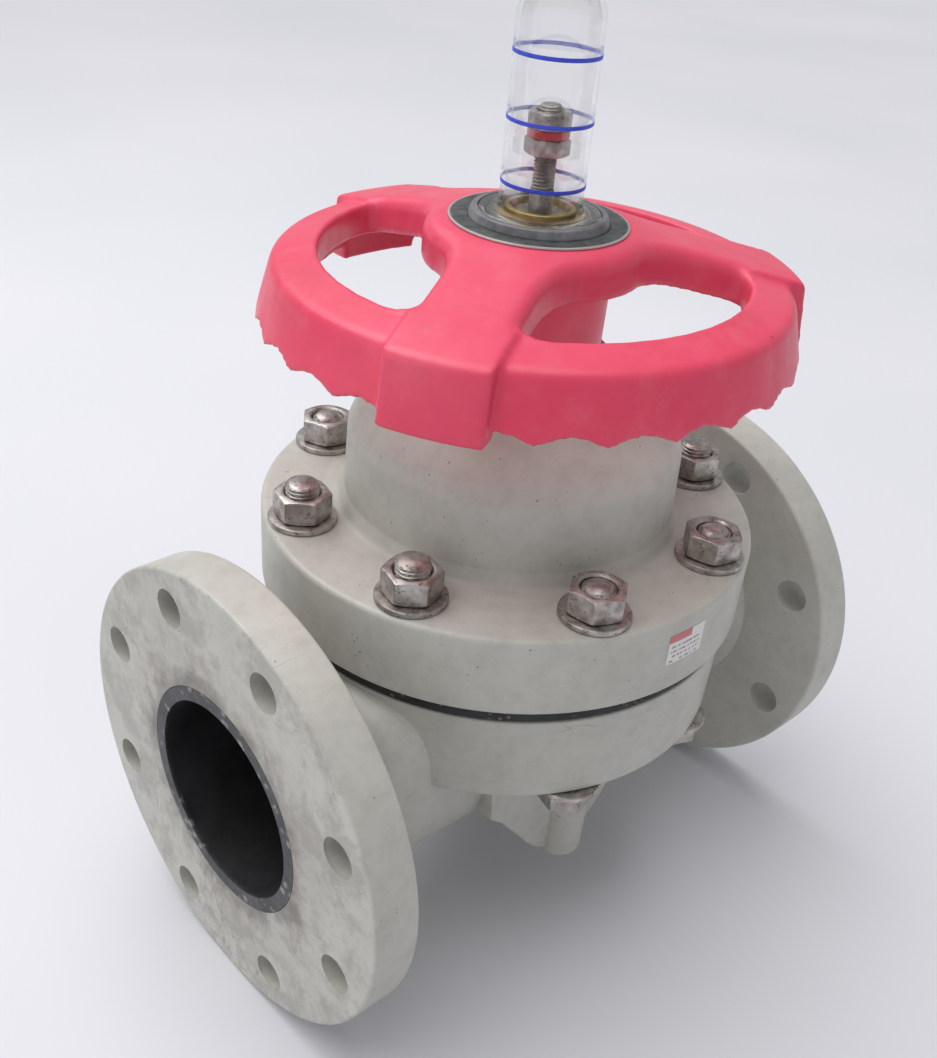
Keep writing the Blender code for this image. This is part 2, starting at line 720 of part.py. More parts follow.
def ring(name, inner, outer, low, thick, look, steps=ROUND_STEPS):
    made = turned(name, [(inner, low + thick), (outer, low + thick), (outer, low), (inner, low)],
                  steps=steps)
    return finish(made, name, look)


def sleeve():
    """The nut that the handwheel turns: bearing collar, hexagon drive and threaded neck."""
    bore = STEM_R + GAP
    low = THRUST_Z - 14.0
    hex_low = WHEEL_BOSS_Z - 1.0
    neck_r = COVER_BORE_R - 2 * GAP
    outline = [(bore, SLEEVE_TOP_Z), (neck_r, SLEEVE_TOP_Z), (neck_r, COVER_Z + 1.4),
               (SLEEVE_R - 0.5, COVER_Z + 1.4), (SLEEVE_R - 0.5, RING_NUT_Z),
               (SLEEVE_R - 2.6, RING_NUT_Z), (SLEEVE_R - 2.6, hex_low), (SLEEVE_R, hex_low),
               (SLEEVE_R, COLLAR_Z + COLLAR_T), (COLLAR_R, COLLAR_Z + COLLAR_T),
               (COLLAR_R, COLLAR_Z), (SLEEVE_R, COLLAR_Z), (SLEEVE_R, low + 9.0),
               (SLEEVE_R - O_RING_R, low + 9.0), (SLEEVE_R - O_RING_R, low + 6.0),
               (SLEEVE_R, low + 6.0), (SLEEVE_R, low), (bore, low)]
    made = turned("sleeve", outline, steps=ROUND_STEPS)
    drive = hexagon("drive", 2 * SLEEVE_R * math.sqrt(3.0) / 2, hex_low + 0.5, RING_NUT_Z - 0.7)
    cut(drive, cylinder("drive_bore", bore + 1.0, hex_low - 5.0, RING_NUT_Z + 5.0,
                        steps=ROUND_STEPS))
    join(made, drive)
    return finish(made, "sleeve", BRASS)


def sleeve_o_ring():
    """Seals the sleeve in the bonnet, in a groove under the collar."""
    z = THRUST_Z - 14.0 + 7.5
    shape = []
    count = 6
    centre = SLEEVE_R - 0.1
    for i in range(count):
        angle = -2 * math.pi * i / count
        shape.append((centre + 0.9 * math.cos(angle), z + 0.9 * math.sin(angle)))
    return finish(turned("sleeve_o_ring", shape, steps=ROUND_STEPS), "sleeve_o_ring", RUBBER)


# ---- Handwheel ------------------------------------------------------------------------

def wheel_top(radius):
    """Height of the wheel's upper skin."""
    return WHEEL_HUB_Z - RIM_SLOPE * max(0.0, radius - WHEEL_HUB_R)


def window(grow):
    """Outline of the opening between two spokes, grown all round by the given distance."""
    middle = (WINDOW_IN_R + WINDOW_OUT_R) / 2
    half = (WINDOW_OUT_R - WINDOW_IN_R) / 2 + grow
    direction = math.radians(SPOKE_ANGLE + 180.0 / SPOKES)
    power = 2.0 / WINDOW_SQUARENESS
    points = []
    count = 24
    for i in range(count):
        angle = 2 * math.pi * i / count
        across = math.copysign(abs(math.cos(angle)) ** power, math.cos(angle))
        along = math.copysign(abs(math.sin(angle)) ** power, math.sin(angle))
        radius = middle + half * along
        widest = math.pi / SPOKES - math.asin((SPOKE_HALF - grow) / radius)
        turn = direction + widest * across
        points.append((radius * math.cos(turn), radius * math.sin(turn)))
    return points


def windows(grow, low, high):
    one = prism("window", window(grow), low, high)
    return turned_copies(one, "windows", [360.0 / SPOKES * k for k in range(SPOKES)])


def scallop(made):
    """Finger waves: the rim's lowest edge rises and falls round the wheel."""
    for vertex in made.data.vertices:
        x, y, z = vertex.co / MM
        reach = math.hypot(x, y)
        if reach > WHEEL_RIM_TOP_R - 4.0 and z < WHEEL_RIM_BOTTOM_Z + 6.0:
            vertex.co.z += WAVE_HEIGHT * math.cos(WAVES * math.atan2(y, x)) * MM


def handwheel():
    top = WHEEL_HUB_Z
    hub = WHEEL_HUB_R
    rim = WHEEL_RIM_TOP_R
    low = WHEEL_RIM_BOTTOM_Z
    outer = WHEEL_RIM_R
    depth = WHEEL_WALL_DEPTH
    outline = [(0.0, top), (hub - 2.0, top), (hub + 3.0, wheel_top(hub + 3.0) - 0.2),
               (rim - 4.0, wheel_top(rim - 4.0)), (rim - 1.0, wheel_top(rim - 1.0) - 1.0),
               (rim + 1.0, wheel_top(rim) - 4.0), (outer - 1.0, low + 5.0), (outer, low),
               (outer - WHEEL_WALL, low + 0.5), (outer - WHEEL_WALL - 4.0, wheel_top(rim) - 15.0),
               (WINDOW_OUT_R, wheel_top(WINDOW_OUT_R) - depth),
               (WINDOW_IN_R, wheel_top(WINDOW_IN_R) - depth), (WHEEL_BOSS_R, top - depth - 2.0),
               (WHEEL_BOSS_R - 0.5, WHEEL_BOSS_Z), (0.0, WHEEL_BOSS_Z)]
    made = turned("handwheel", outline, steps=WHEEL_STEPS, ring=False)
    scallop(made)

    lug = LUG_R
    envelope = turned("envelope", [(0.0, wheel_top(60.0)), (60.0, wheel_top(60.0)),
                                   (lug - 9.0, wheel_top(lug - 9.0)), (lug - 5.5, wheel_top(lug) - 1.0),
                                   (lug - 3.5, wheel_top(lug) - 5.0), (lug, LUG_BOTTOM_Z + 2.0),
                                   (lug - 0.5, LUG_BOTTOM_Z), (0.0, LUG_BOTTOM_Z)],
                      steps=WHEEL_STEPS, ring=False)
    bar = box("bar", (92.0, -LUG_HALF, LUG_BOTTOM_Z - 5.0), (lug + 5.0, LUG_HALF, top))
    bars = turned_copies(bar, "bars", [SPOKE_ANGLE + 360.0 / SPOKES * k for k in range(SPOKES)])
    join(made, keep_common(envelope, bars))

    under = [(hub + 1.0, wheel_top(hub + 1.0) - WHEEL_SKIN),
             (rim - 4.0, wheel_top(rim - 4.0) - WHEEL_SKIN), (outer - WHEEL_WALL - 4.0, top - 30.0),
             (outer - WHEEL_WALL, LUG_BOTTOM_Z - 5.0), (hub + 1.0, LUG_BOTTOM_Z - 5.0)]
    hollow = turned("hollow", under, steps=WHEEL_STEPS)
    cut(hollow, windows(WHEEL_WALL, LUG_BOTTOM_Z - 10.0, top + 10.0))
    cut(made, windows(0.0, LUG_BOTTOM_Z - 10.0, top + 10.0), hollow)

    drive = 2 * SLEEVE_R * math.sqrt(3.0) / 2 + 2 * GAP
    cut(made, hexagon("drive", drive, WHEEL_BOSS_Z - 5.0, top + 5.0))
    cut(made, cylinder("counterbore", RING_NUT_R + GAP, RING_NUT_Z - GAP, top + 5.0,
                       steps=ROUND_STEPS))
    return finish(made, "handwheel", RED_PP)


# ---- Gauge cover, plates and indicator -------------------------------------------------

def gauge_cover():
    """Clear cap over the indicator: flange, straight tube and round end."""
    bore = COVER_BORE_R
    radius = COVER_R
    spring = COVER_TOP_Z - radius
    flange_top = COVER_Z + COVER_FLANGE_T
    collar = SLEEVE_R - 0.5 + GAP
    groove = COVER_FLANGE_R - 3.7
    outside = []
    inside = []
    count = 5
    for i in range(count + 1):
        angle = math.pi / 2 * i / count
        outside.append((radius * math.sin(angle), spring + radius * math.cos(angle)))
        inside.append((bore * math.sin(angle), spring + bore * math.cos(angle)))
    outline = outside + [(radius, flange_top + 4.0), (radius + 1.2, flange_top + 0.8),
                         (radius + 3.0, flange_top), (COVER_FLANGE_R - 0.8, flange_top),
                         (COVER_FLANGE_R, flange_top - 0.8), (COVER_FLANGE_R, COVER_Z),
                         (groove + 1.2, COVER_Z), (groove + 1.2, COVER_Z + 1.6),
                         (groove - 1.2, COVER_Z + 1.6), (groove - 1.2, COVER_Z), (collar, COVER_Z), (collar, COVER_Z + 2.0),
                         (bore, COVER_Z + 2.0)]
    outline += list(reversed(inside))
    return finish(turned("gauge_cover", outline, steps=ROUND_STEPS, ring=False), "gauge_cover", CLEAR)


def cover_o_ring():
    z = COVER_Z + 0.5
    shape = []
    count = 6
    for i in range(count):
        angle = -2 * math.pi * i / count
        shape.append((COVER_FLANGE_R - 3.7 + 0.8 * math.cos(angle), z + 0.8 * math.sin(angle)))
    return finish(turned("cover_o_ring", shape, steps=ROUND_STEPS), "cover_o_ring", RUBBER)


def indicator_nuts():
    step = INDICATOR_NUT_H + INDICATOR_DISC_T + 2 * GAP
    for name, low, turn in (("indicator_nut_lower", INDICATOR_Z, 10.0),
                            ("indicator_nut_upper", INDICATOR_Z + step, 34.0)):
        nut = hexagon("nut", INDICATOR_NUT_AF, low, low + INDICATOR_NUT_H, turn=turn)
        cut(nut, cylinder("thread", ROD_R + GAP, low - 2.0, low + INDICATOR_NUT_H + 2.0,
                      steps=WASHER_STEPS))
        finish(nut, name, STAINLESS)


# ---- Bonnet bolting ---------------------------------------------------------------------

def bonnet_nuts():
    for number, place in enumerate(bolt_places(BOLT_ANGLES), 1):
        nut = hexagon("nut", NUT_AF, NUT_Z, NUT_TOP_Z, place, turn=NUT_TURNS[number - 1])
        cut(nut, cylinder("thread", BOLT_R + GAP, NUT_Z - 2.0, NUT_TOP_Z + 2.0, place, HOLE_STEPS))
        finish(nut, f"bonnet_nut_{number}", STAINLESS)


def washers(name, angles, low):
    bore = BOLT_R + 2 * GAP
    outline = [(bore, low + WASHER_T), (WASHER_R, low + WASHER_T), (WASHER_R, low), (bore, low)]
    for number, place in enumerate(bolt_places(angles), 1):
        finish(moved(turned("washer", outline, steps=WASHER_STEPS), place), f"{name}_{number}", STAINLESS)


def bolt_shank(angle, low, proud, chamfer):
    """A bolt's or stud's thread, from the given height to its end over the nut."""
    end = NUT_TOP_Z + proud
    outline = [(0.0, end), (BOLT_R - chamfer, end), (BOLT_R, end - 1.5), (BOLT_R, low), (0.0, low)]
    return moved(turned("shank", outline, steps=HOLE_STEPS, ring=False), bolt_places([angle])[0])


def body_bolts():
    """Hexagon bolts from below."""
    head_top = BODY_FLANGE_Z - WASHER_T - 2 * GAP
    for number, angle in enumerate(THROUGH_ANGLES, 1):
        place = bolt_places([angle])[0]
        shank = bolt_shank(angle, head_top - 3.0, BOLT_END, 2.5)
        head = hexagon("head", NUT_AF, head_top - HEAD_H, head_top, place, turn=25.0 * number)
        finish(join(shank, head), f"body_bolt_{number}", STAINLESS)


def body_studs():
    low = BODY_TOP_Z - STUD_INSERT_LEN
    for number, angle in enumerate(STUD_ANGLES, 1):
        finish(bolt_shank(angle, low, STUD_END, 1.5), f"body_stud_{number}", STAINLESS)


def stud_inserts():
    """Threaded inserts moulded into the body under the four studs."""
    top = BODY_TOP_Z - GAP
    low = BODY_TOP_Z - STUD_INSERT_LEN - 2 * GAP
    bore = BOLT_R + GAP
    outer = BOLT_R + STUD_INSERT_WALL
    outline = [(bore, top), (outer, top), (outer, low), (bore, low)]
    for number, place in enumerate(bolt_places(STUD_ANGLES), 1):
        insert = moved(turned("insert", outline, steps=HOLE_STEPS), place)
        finish(insert, f"stud_insert_{number}", BRASS)


# ---- The valve, from the pipe up ----------------------------------------------------------

body()
body_liner()
foot_inserts()
stud_inserts()
diaphragm()
diaphragm_stud()
compressor()
stem_joint()
compressor_pin()
stem()
bonnet()
ring("thrust_ring_lower", SLEEVE_R + GAP, BEARING_R - GAP, THRUST_Z, THRUST_RING_T, BEARING_PLASTIC)
ring("thrust_ring_upper", SLEEVE_R + GAP, BEARING_R - GAP, UPPER_THRUST_Z, THRUST_RING_T,
     BEARING_PLASTIC)
ring("sleeve_retainer", SLEEVE_R + GAP, BEARING_R - GAP, RETAINER_Z, RETAINER_T, STAINLESS)
sleeve()
sleeve_o_ring()
body_bolts()
body_studs()
washers("lower_washer", THROUGH_ANGLES, BODY_FLANGE_Z - GAP - WASHER_T)
washers("upper_washer", BOLT_ANGLES, WASHER_Z)
bonnet_nuts()
handwheel()
ring("wheel_ring_nut", SLEEVE_R - 0.5 + GAP, RING_NUT_R, RING_NUT_Z, RING_NUT_T, SEAT_BLACK)
ring("nameplate", SEAT_RING_R + GAP, PLATE_R, WHEEL_HUB_Z + GAP, PLATE_T, PLATE_BLACK)
ring("cover_seat_ring", COVER_FLANGE_R + GAP, SEAT_RING_R, WHEEL_HUB_Z + GAP, SEAT_RING_T,
     SEAT_BLACK)
gauge_cover()
cover_o_ring()
indicator_nuts()
ring("indicator_disc", ROD_R + GAP, INDICATOR_DISC_R, INDICATOR_Z + INDICATOR_NUT_H + GAP,
     INDICATOR_DISC_T, DISC_RED)
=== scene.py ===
"""The looks of a flanged diaphragm valve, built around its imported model.

Metres, +Z up. Profiles and heights are written in millimetres, heights from the pipe's axis.
"""

import math

import bpy
import bmesh
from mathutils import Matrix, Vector


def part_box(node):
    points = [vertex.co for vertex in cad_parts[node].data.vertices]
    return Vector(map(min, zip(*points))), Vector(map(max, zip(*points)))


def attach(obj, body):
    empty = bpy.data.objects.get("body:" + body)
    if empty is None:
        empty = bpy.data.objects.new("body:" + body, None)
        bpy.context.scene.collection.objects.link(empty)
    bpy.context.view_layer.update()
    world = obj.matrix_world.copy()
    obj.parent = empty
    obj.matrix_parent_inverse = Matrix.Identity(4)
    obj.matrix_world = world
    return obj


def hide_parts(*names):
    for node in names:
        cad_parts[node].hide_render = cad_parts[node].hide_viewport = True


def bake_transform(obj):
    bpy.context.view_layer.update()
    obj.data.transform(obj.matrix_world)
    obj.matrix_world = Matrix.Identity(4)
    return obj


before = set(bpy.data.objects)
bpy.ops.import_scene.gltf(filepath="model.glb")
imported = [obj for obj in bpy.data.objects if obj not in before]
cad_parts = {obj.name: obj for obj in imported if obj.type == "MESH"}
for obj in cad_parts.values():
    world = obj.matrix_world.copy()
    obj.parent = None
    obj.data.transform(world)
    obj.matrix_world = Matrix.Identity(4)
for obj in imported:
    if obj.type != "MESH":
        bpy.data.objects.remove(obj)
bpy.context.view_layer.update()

# ---- Camera, light and floor --------------------------------------------------------------
# A plain table top under soft light, as small parts are shown in a catalogue: a broad
# sky light from above and a little behind, a weak one from the left, and pale walls.

MM = 0.001
camera_data = bpy.data.cameras.new("camera")
camera_data.lens = 40.645
camera_data.shift_x = 0.0056
camera_data.shift_y = 0.0507
camera_data.clip_end = 50.0
camera = bpy.data.objects.new("camera", camera_data)
camera.location = (-0.3787, -0.3532, 0.5170)
camera.rotation_euler = [math.radians(turn) for turn in (55.832, -4.444, -41.978)]
bpy.context.scene.collection.objects.link(camera)
bpy.context.scene.camera = camera
bpy.context.scene.view_settings.view_transform = "Standard"


def linear(code):
    """An sRGB hex colour as the linear colour that a shader takes."""
    shares = [int(code[i:i + 2], 16) / 255 for i in (0, 2, 4)]
    return [s / 12.92 if s <= 0.04045 else ((s + 0.055) / 1.055) ** 2.4 for s in shares] + [1.0]


def light(name, kind, place, watts, **settings):
    """A light that faces the middle of the valve."""
    data = bpy.data.lights.new(name, kind)
    data.energy = watts
    for setting, value in settings.items():
        setattr(data, setting, value)
    made = bpy.data.objects.new(name, data)
    made.location = place
    aim = Vector((0.0, 0.0, 0.2)) - Vector(place)
    made.rotation_euler = aim.to_track_quat("-Z", "Y").to_euler()
    bpy.context.scene.collection.objects.link(made)


light("sky_light", "SUN", (-0.25, 0.35, 1.6), 2.05, angle=math.radians(65.0))
light("back_light", "AREA", (-0.1, 1.1, 1.5), 7.0, size=1.2)
light("left_light", "AREA", (-1.6, 0.2, 0.8), 2.2, size=0.9)

world = bpy.data.worlds.new("white_room")
world.use_nodes = True
world.node_tree.nodes["Background"].inputs["Color"].default_value = linear("f4f5f8")
world.node_tree.nodes["Background"].inputs["Strength"].default_value = 0.46
bpy.context.scene.world = world


def add_node(tree, kind, values, out=0):
    """One shader node, returned as one of its outputs. A socket feeds the input of that name, and
    any other value sets an input or a setting. A mix of colours takes its share at 0, 6 and 7."""
    made = tree.nodes.new("ShaderNode" + kind)
    for name, value in values.items():
        if name == "stops":
            stops = made.color_ramp.elements
            while len(stops) < len(value):
                stops.new(0.5)
            for stop, (place, shade) in zip(stops, value):
                stop.position = place
                stop.color = shade if isinstance(shade, list) else [shade, shade, shade, 1.0]
        elif isinstance(value, bpy.types.NodeSocket):
            tree.links.new(value, made.inputs[name])
        elif isinstance(name, int) or name in made.inputs:
            made.inputs[name].default_value = value
        else:
            setattr(made, name, value)
    return made.outputs[out]


def blank_material(name, **settings):
    """A Principled material: its tree, its shader and the object's own coordinates."""
    made = bpy.data.materials.new(name)
    made.use_nodes = True
    tree = made.node_tree
    shader = tree.nodes["Principled BSDF"]
    for socket, value in settings.items():
        shader.inputs[socket.replace("_", " ")].default_value = value
    return made, tree, shader, add_node(tree, "TexCoord", {}, "Object")


def table_paper():
    """White coated paper: flat, a little cool, hardly any gloss."""
    made, tree, shader, where = blank_material("coated_paper", Roughness=0.6)
    cloud = add_node(tree, "ValToRGB", {
        "Fac": add_node(tree, "TexNoise", {
            "Vector": where, "Scale": 1.6, "Detail": 2.0, "Roughness": 0.5}),
        "stops": [(0.3, linear("d3d3d9")), (0.7, linear("d9d9de"))]})
    tree.links.new(cloud, shader.inputs["Base Color"])
    return made


bpy.ops.object.select_all(action="DESELECT")
bpy.ops.mesh.primitive_plane_add(size=14.0)
floor = bpy.context.object
floor.name = "table_paper"
floor.data.materials.append(table_paper())

# ---- Body ---------------------------------------------------------------------------------
# One injection moulding in grey polypropylene: two pipe flanges, their necks, the round top
# flange that the bonnet bolts to, and a foot with a web on each side underneath.

body_low, body_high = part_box("body")
bonnet_low, bonnet_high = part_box("bonnet")
FLANGE_R = 114.5
AXIS = FLANGE_R * MM            # the pipe's axis is a flange radius over the floor
HALF_LENGTH = body_high.x / MM
FLANGE_THICK = 24.0
BORE_R = 50.0
LINING_T = 3.0
LIP_R = 57.0
LIP_T = 6.0
HOLE_R = 9.5
HOLE_CIRCLE_R = 95.25
TOP_FLANGE_R = 117.0
TOP_FLANGE_Z = 59.8
TOP_FLANGE_T = 46.2
NECK_R = 62.5
FOOT_Y = 66.0
FOOT_R = 13.0
FOOT_LOW = -80.0
BOLT_CIRCLE_R = 103.7
BOLT_ANGLES = [22.5 + 45.0 * k for k in range(8)]
BOLT_HOLE_R = 9.0


def place_of(angle, radius=BOLT_CIRCLE_R):
    return (radius * math.cos(math.radians(angle)), radius * math.sin(math.radians(angle)))


def rounded(corners, steps=5):
    """Corner points (r, z) or (r, z, fillet): each fillet becomes a small curve."""
    points = []
    for i, corner in enumerate(corners):
        here = Vector(corner[:2])
        if len(corner) < 3:
            points.append(here)
            continue
        before = Vector(corners[i - 1][:2]) - here
        after = Vector(corners[(i + 1) % len(corners)][:2]) - here
        reach = corner[2] / max(math.tan(before.angle(after) / 2), 0.2)
        reach = min(reach, before.length * 0.49, after.length * 0.49)
        start = here + before.normalized() * reach
        end = here + after.normalized() * reach
        for k in range(steps + 1):
            t = k / steps
            points.append(start.lerp(here, t).lerp(here.lerp(end, t), t))
    return points


def edit(piece):
    """Only this piece is selected, and it is open for editing."""
    bpy.ops.object.select_all(action="DESELECT")
    piece.select_set(True)
    bpy.context.view_layer.objects.active = piece
    bpy.ops.object.mode_set(mode="EDIT")
    bpy.ops.mesh.select_all(action="SELECT")


def clean(piece):
    """Doubles merged, all faces outwards by the sign of the volume, and back to object mode."""
    bpy.ops.mesh.select_all(action="SELECT")
    bpy.ops.mesh.remove_doubles(threshold=1e-6)
    bpy.ops.mesh.normals_make_consistent(inside=False)
    if bmesh.from_edit_mesh(piece.data).calc_volume(signed=True) < 0.0:
        bpy.ops.mesh.flip_normals()
    bpy.ops.object.mode_set(mode="OBJECT")
    return piece


def turned(name, outline, steps=96, centre=(0.0, 0.0), along="Z", closed=True):
    """A profile of (radius, height) points, drawn by extruding one vertex and then spun."""
    points = [Vector(p) * MM for p in outline]
    if closed:
        points.append(points[0])
    middle = Vector((centre[0] * MM, centre[1] * MM, AXIS))
    if along == "Z":
        points = [middle + Vector((p.x, 0.0, p.y)) for p in points]
    else:
        points = [middle + Vector((p.y, 0.0, p.x)) for p in points]
    bpy.ops.object.select_all(action="DESELECT")
    bpy.ops.mesh.primitive_plane_add(size=MM)
    piece = bpy.context.object
    piece.name = name
    bpy.ops.object.mode_set(mode="EDIT")
    bpy.ops.mesh.merge(type="CENTER")
    bpy.ops.transform.translate(value=points[0])
    for before, after in zip(points, points[1:]):
        bpy.ops.mesh.extrude_vertices_move(TRANSFORM_OT_translate={"value": after - before})
    bpy.ops.mesh.select_all(action="SELECT")
    axis = (0, 0, 1) if along == "Z" else (1, 0, 0)
    bpy.ops.mesh.spin(steps=steps, angle=2 * math.pi, center=middle, axis=axis, use_auto_merge=False)
    return clean(piece)


def lofted(name, rings):
    """Rings of (x, y, z) points: a circle is extruded once a ring, and its rim put in place."""
    rings = [[Vector((x * MM, y * MM, AXIS + z * MM)) for x, y, z in ring] for ring in rings]
    bpy.ops.object.select_all(action="DESELECT")
    bpy.ops.mesh.primitive_circle_add(vertices=len(rings[0]), radius=1.0, fill_type="NGON")
    piece = bpy.context.object
    piece.name = name
    for vertex, point in zip(piece.data.vertices, rings[0]):
        vertex.co = point
    edit(piece)
    for before, after in zip(rings, rings[1:]):
        bpy.ops.mesh.extrude_region_move()
        mesh = bmesh.from_edit_mesh(piece.data)
        for vertex in [v for v in mesh.verts if v.select]:
            nearest = min(range(len(before)), key=lambda i: (before[i] - vertex.co).length_squared)
            vertex.co = after[nearest]
        bmesh.update_edit_mesh(piece.data)
    return clean(piece)


def gather(name, pieces):
    """Several shapes as one object."""
    bpy.ops.object.select_all(action="DESELECT")
    for piece in pieces:
        piece.select_set(True)
    bpy.context.view_layer.objects.active = pieces[0]
    bpy.ops.object.join()
    pieces[0].name = name
    return pieces[0]


def boolean(piece, other, operation):
    """Joins, cuts or intersects, and uses the second shape up."""
    step = piece.modifiers.new(operation, "BOOLEAN")
    step.operation = operation
    step.solver = "MANIFOLD"
    step.object = other
    bpy.ops.object.select_all(action="DESELECT")
    bpy.context.view_layer.objects.active = piece
    piece.select_set(True)
    bpy.ops.object.modifier_apply(modifier=step.name)
    bpy.data.objects.remove(other, do_unlink=True)
    return piece


def drills(radius, low, high, places, along="Z", steps=40):
    """One cutter for a whole circle of holes."""
    made = []
    for u, v in places:
        bpy.ops.object.select_all(action="DESELECT")
        where = (u * MM, v * MM, AXIS + (low + high) / 2 * MM)
        turn = (0.0, 0.0, 0.0)
        if along == "X":
            where = ((low + high) / 2 * MM, u * MM, AXIS + v * MM)
            turn = (0.0, math.pi / 2, 0.0)
        bpy.ops.mesh.primitive_cylinder_add(vertices=steps, radius=radius * MM,
                                            depth=(high - low) * MM, location=where, rotation=turn)
        bpy.ops.object.transform_apply(location=True, rotation=True, scale=True)
        made.append(bpy.context.object)
    return gather("drills", made)


def smooth(piece, angle=32.0):
    bpy.ops.object.select_all(action="DESELECT")
    piece.select_set(True)
    bpy.context.view_layer.objects.active = piece
    bpy.ops.object.shade_smooth_by_angle(angle=math.radians(angle))
    return piece


def fit(piece, name, body, slot, look, *nodes):
    """A finished piece: its name, finish, the body it rides on if only one, and its nodes."""
    piece.name = name
    piece.data.name = name
    piece.data.materials.clear()
    piece.data.materials.append(look)
    if body:
        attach(piece, body)
    if nodes:
        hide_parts(*nodes)
    return piece


def passage_shape(grow):
    """The straight bore, less the weir across it, with the bowl under the diaphragm."""
    reach = HALF_LENGTH + 8.0
    bore = turned("bore", [(0.0, -reach), (BORE_R + grow, -reach), (BORE_R + grow, reach), (0.0, reach)],
                  along="X", closed=False)
    root = 55.0 - grow
    crest = 12.0 - grow
    deep = BORE_R + grow + 5.0
    wall = deep + 20.0
    weir = lofted("weir", [[(-root, y, -deep), (root, y, -deep), (crest, y, 45.0), (-crest, y, 45.0)]
                           for y in (-wall, wall)])
    boolean(bore, weir, "DIFFERENCE")
    rise = TOP_FLANGE_Z - 14.0
    bowl_r = (75.0 ** 2 + rise ** 2) / (2 * rise)
    bpy.ops.object.select_all(action="DESELECT")
    bpy.ops.mesh.primitive_uv_sphere_add(segments=96, ring_count=48, radius=(bowl_r + grow) * MM,
                                         location=(0.0, 0.0, AXIS + (14.0 + bowl_r) * MM))
    bowl = bpy.context.object
    bpy.ops.object.transform_apply(location=True, rotation=True, scale=True)
    return boolean(bore, bowl, "UNION")


def neck_ring(x, half_width, top, squareness, count=96):
    """Round below, and squarer above where the neck carries the top flange's shoulder."""
    ring = []
    for i in range(count):
        angle = 2 * math.pi * i / count
        c = math.cos(angle)
        s = math.sin(angle)
        power = 2.0 / squareness if s > 0.0 else 1.0
        height = top if s > 0.0 else half_width
        ring.append((x, half_width * math.copysign(abs(c) ** power, c),
                     height * math.copysign(abs(s) ** power, s)))
    return ring


def neck():
    """Both necks in one loft, with a fillet where each meets its pipe flange."""
    back = HALF_LENGTH - FLANGE_THICK
    half = [(back + 1.0, 64.5, 64.5, 2.0), (back - 1.0, 61.6, 61.6, 2.0), (back - 4.0, 59.8, 59.8, 2.0),
            (back - 8.0, 59.0, 59.0, 2.0), (back - 15.0, 59.6, 58.8, 2.05), (122.0, NECK_R, 58.3, 3.0),
            (119.0, NECK_R + 0.3, 58.9, 3.5), (115.0, NECK_R + 0.5, 59.3, 4.0),
            (60.0, NECK_R + 0.8, 59.3, 4.0)]
    stations = [(-x, w, t, n) for x, w, t, n in half] + list(reversed(half))
    return lofted("neck", [neck_ring(*station) for station in stations])


def pipe_flange(side):
    face = side * HALF_LENGTH
    back = side * (HALF_LENGTH - FLANGE_THICK)
    outline = rounded([(0.0, face), (FLANGE_R, face, 1.8), (FLANGE_R, back, 2.2), (0.0, back)])
    return turned("pipe_flange", outline, 160, along="X", closed=False)


def foot(side):
    """A round post with a web towards each pipe flange."""
    post = turned("post", rounded([(0.0, 30.0), (FOOT_R, 30.0), (FOOT_R, FOOT_LOW, 2.4), (0.0, FOOT_LOW)]),
                  48, (0.0, side * FOOT_Y), closed=False)
    half = [(7.0, -77.0), (14.0, -75.5), (21.0, -71.0), (28.0, -63.0), (34.0, -55.0), (41.0, -46.0),
            (49.0, -36.0), (59.0, -27.0), (63.0, 22.0)]
    outline = [(-x, z) for x, z in half] + [(x, z) for x, z in reversed(half)]
    inner = side * (FOOT_Y - 15.0)
    outer = side * (FOOT_Y + 3.0)
    rings = []
    for y, shrink in ((inner, 0.0), (outer - side * 1.5, 0.0), (outer - side * 0.4, 0.5), (outer, 1.5)):
        rings.append([(x - math.copysign(shrink, x), y, z + shrink * (z < 0.0)) for x, z in outline])
    return boolean(post, lofted("web", rings), "UNION")


casting = turned("body_casting", rounded([(0.0, TOP_FLANGE_Z), (TOP_FLANGE_R, TOP_FLANGE_Z, 1.2),
                                          (115.5, TOP_FLANGE_Z - TOP_FLANGE_T, 2.5),
                                          (0.0, TOP_FLANGE_Z - TOP_FLANGE_T)]), 160, closed=False)
for shape in (neck(), pipe_flange(-1), pipe_flange(1), foot(-1), foot(1)):
    boolean(casting, shape, "UNION")
boolean(casting, passage_shape(LINING_T + 0.3), "DIFFERENCE")
flange_holes = [place_of(angle, HOLE_CIRCLE_R) for angle in BOLT_ANGLES]
for side in (-1, 1):
    ends = sorted((side * (HALF_LENGTH - LIP_T - 0.3), side * (HALF_LENGTH + 5.0)))
    boolean(casting, drills(LIP_R + 0.3, *ends, [(0.0, 0.0)], "X", 96), "DIFFERENCE")
    ends = sorted((side * (HALF_LENGTH - FLANGE_THICK - 3.0), side * (HALF_LENGTH + 5.0)))
    boolean(casting, drills(HOLE_R, *ends, flange_holes, "X"), "DIFFERENCE")
through = [angle for angle in BOLT_ANGLES if abs(math.cos(math.radians(angle))) < 0.7]
over_necks = [angle for angle in BOLT_ANGLES if angle not in through]
boolean(casting, drills(BOLT_HOLE_R, 5.0, 70.0, [place_of(a) for a in through]), "DIFFERENCE")
insert_places = [place_of(angle) for angle in over_necks]
boolean(casting, drills(10.9, TOP_FLANGE_Z - 13.0, 70.0, insert_places), "DIFFERENCE")
foot_places = [(0.0, FOOT_Y), (0.0, -FOOT_Y)]
boolean(casting, drills(5.8, FOOT_LOW - 5.0, FOOT_LOW + 14.6, foot_places), "DIFFERENCE")
smooth(casting)


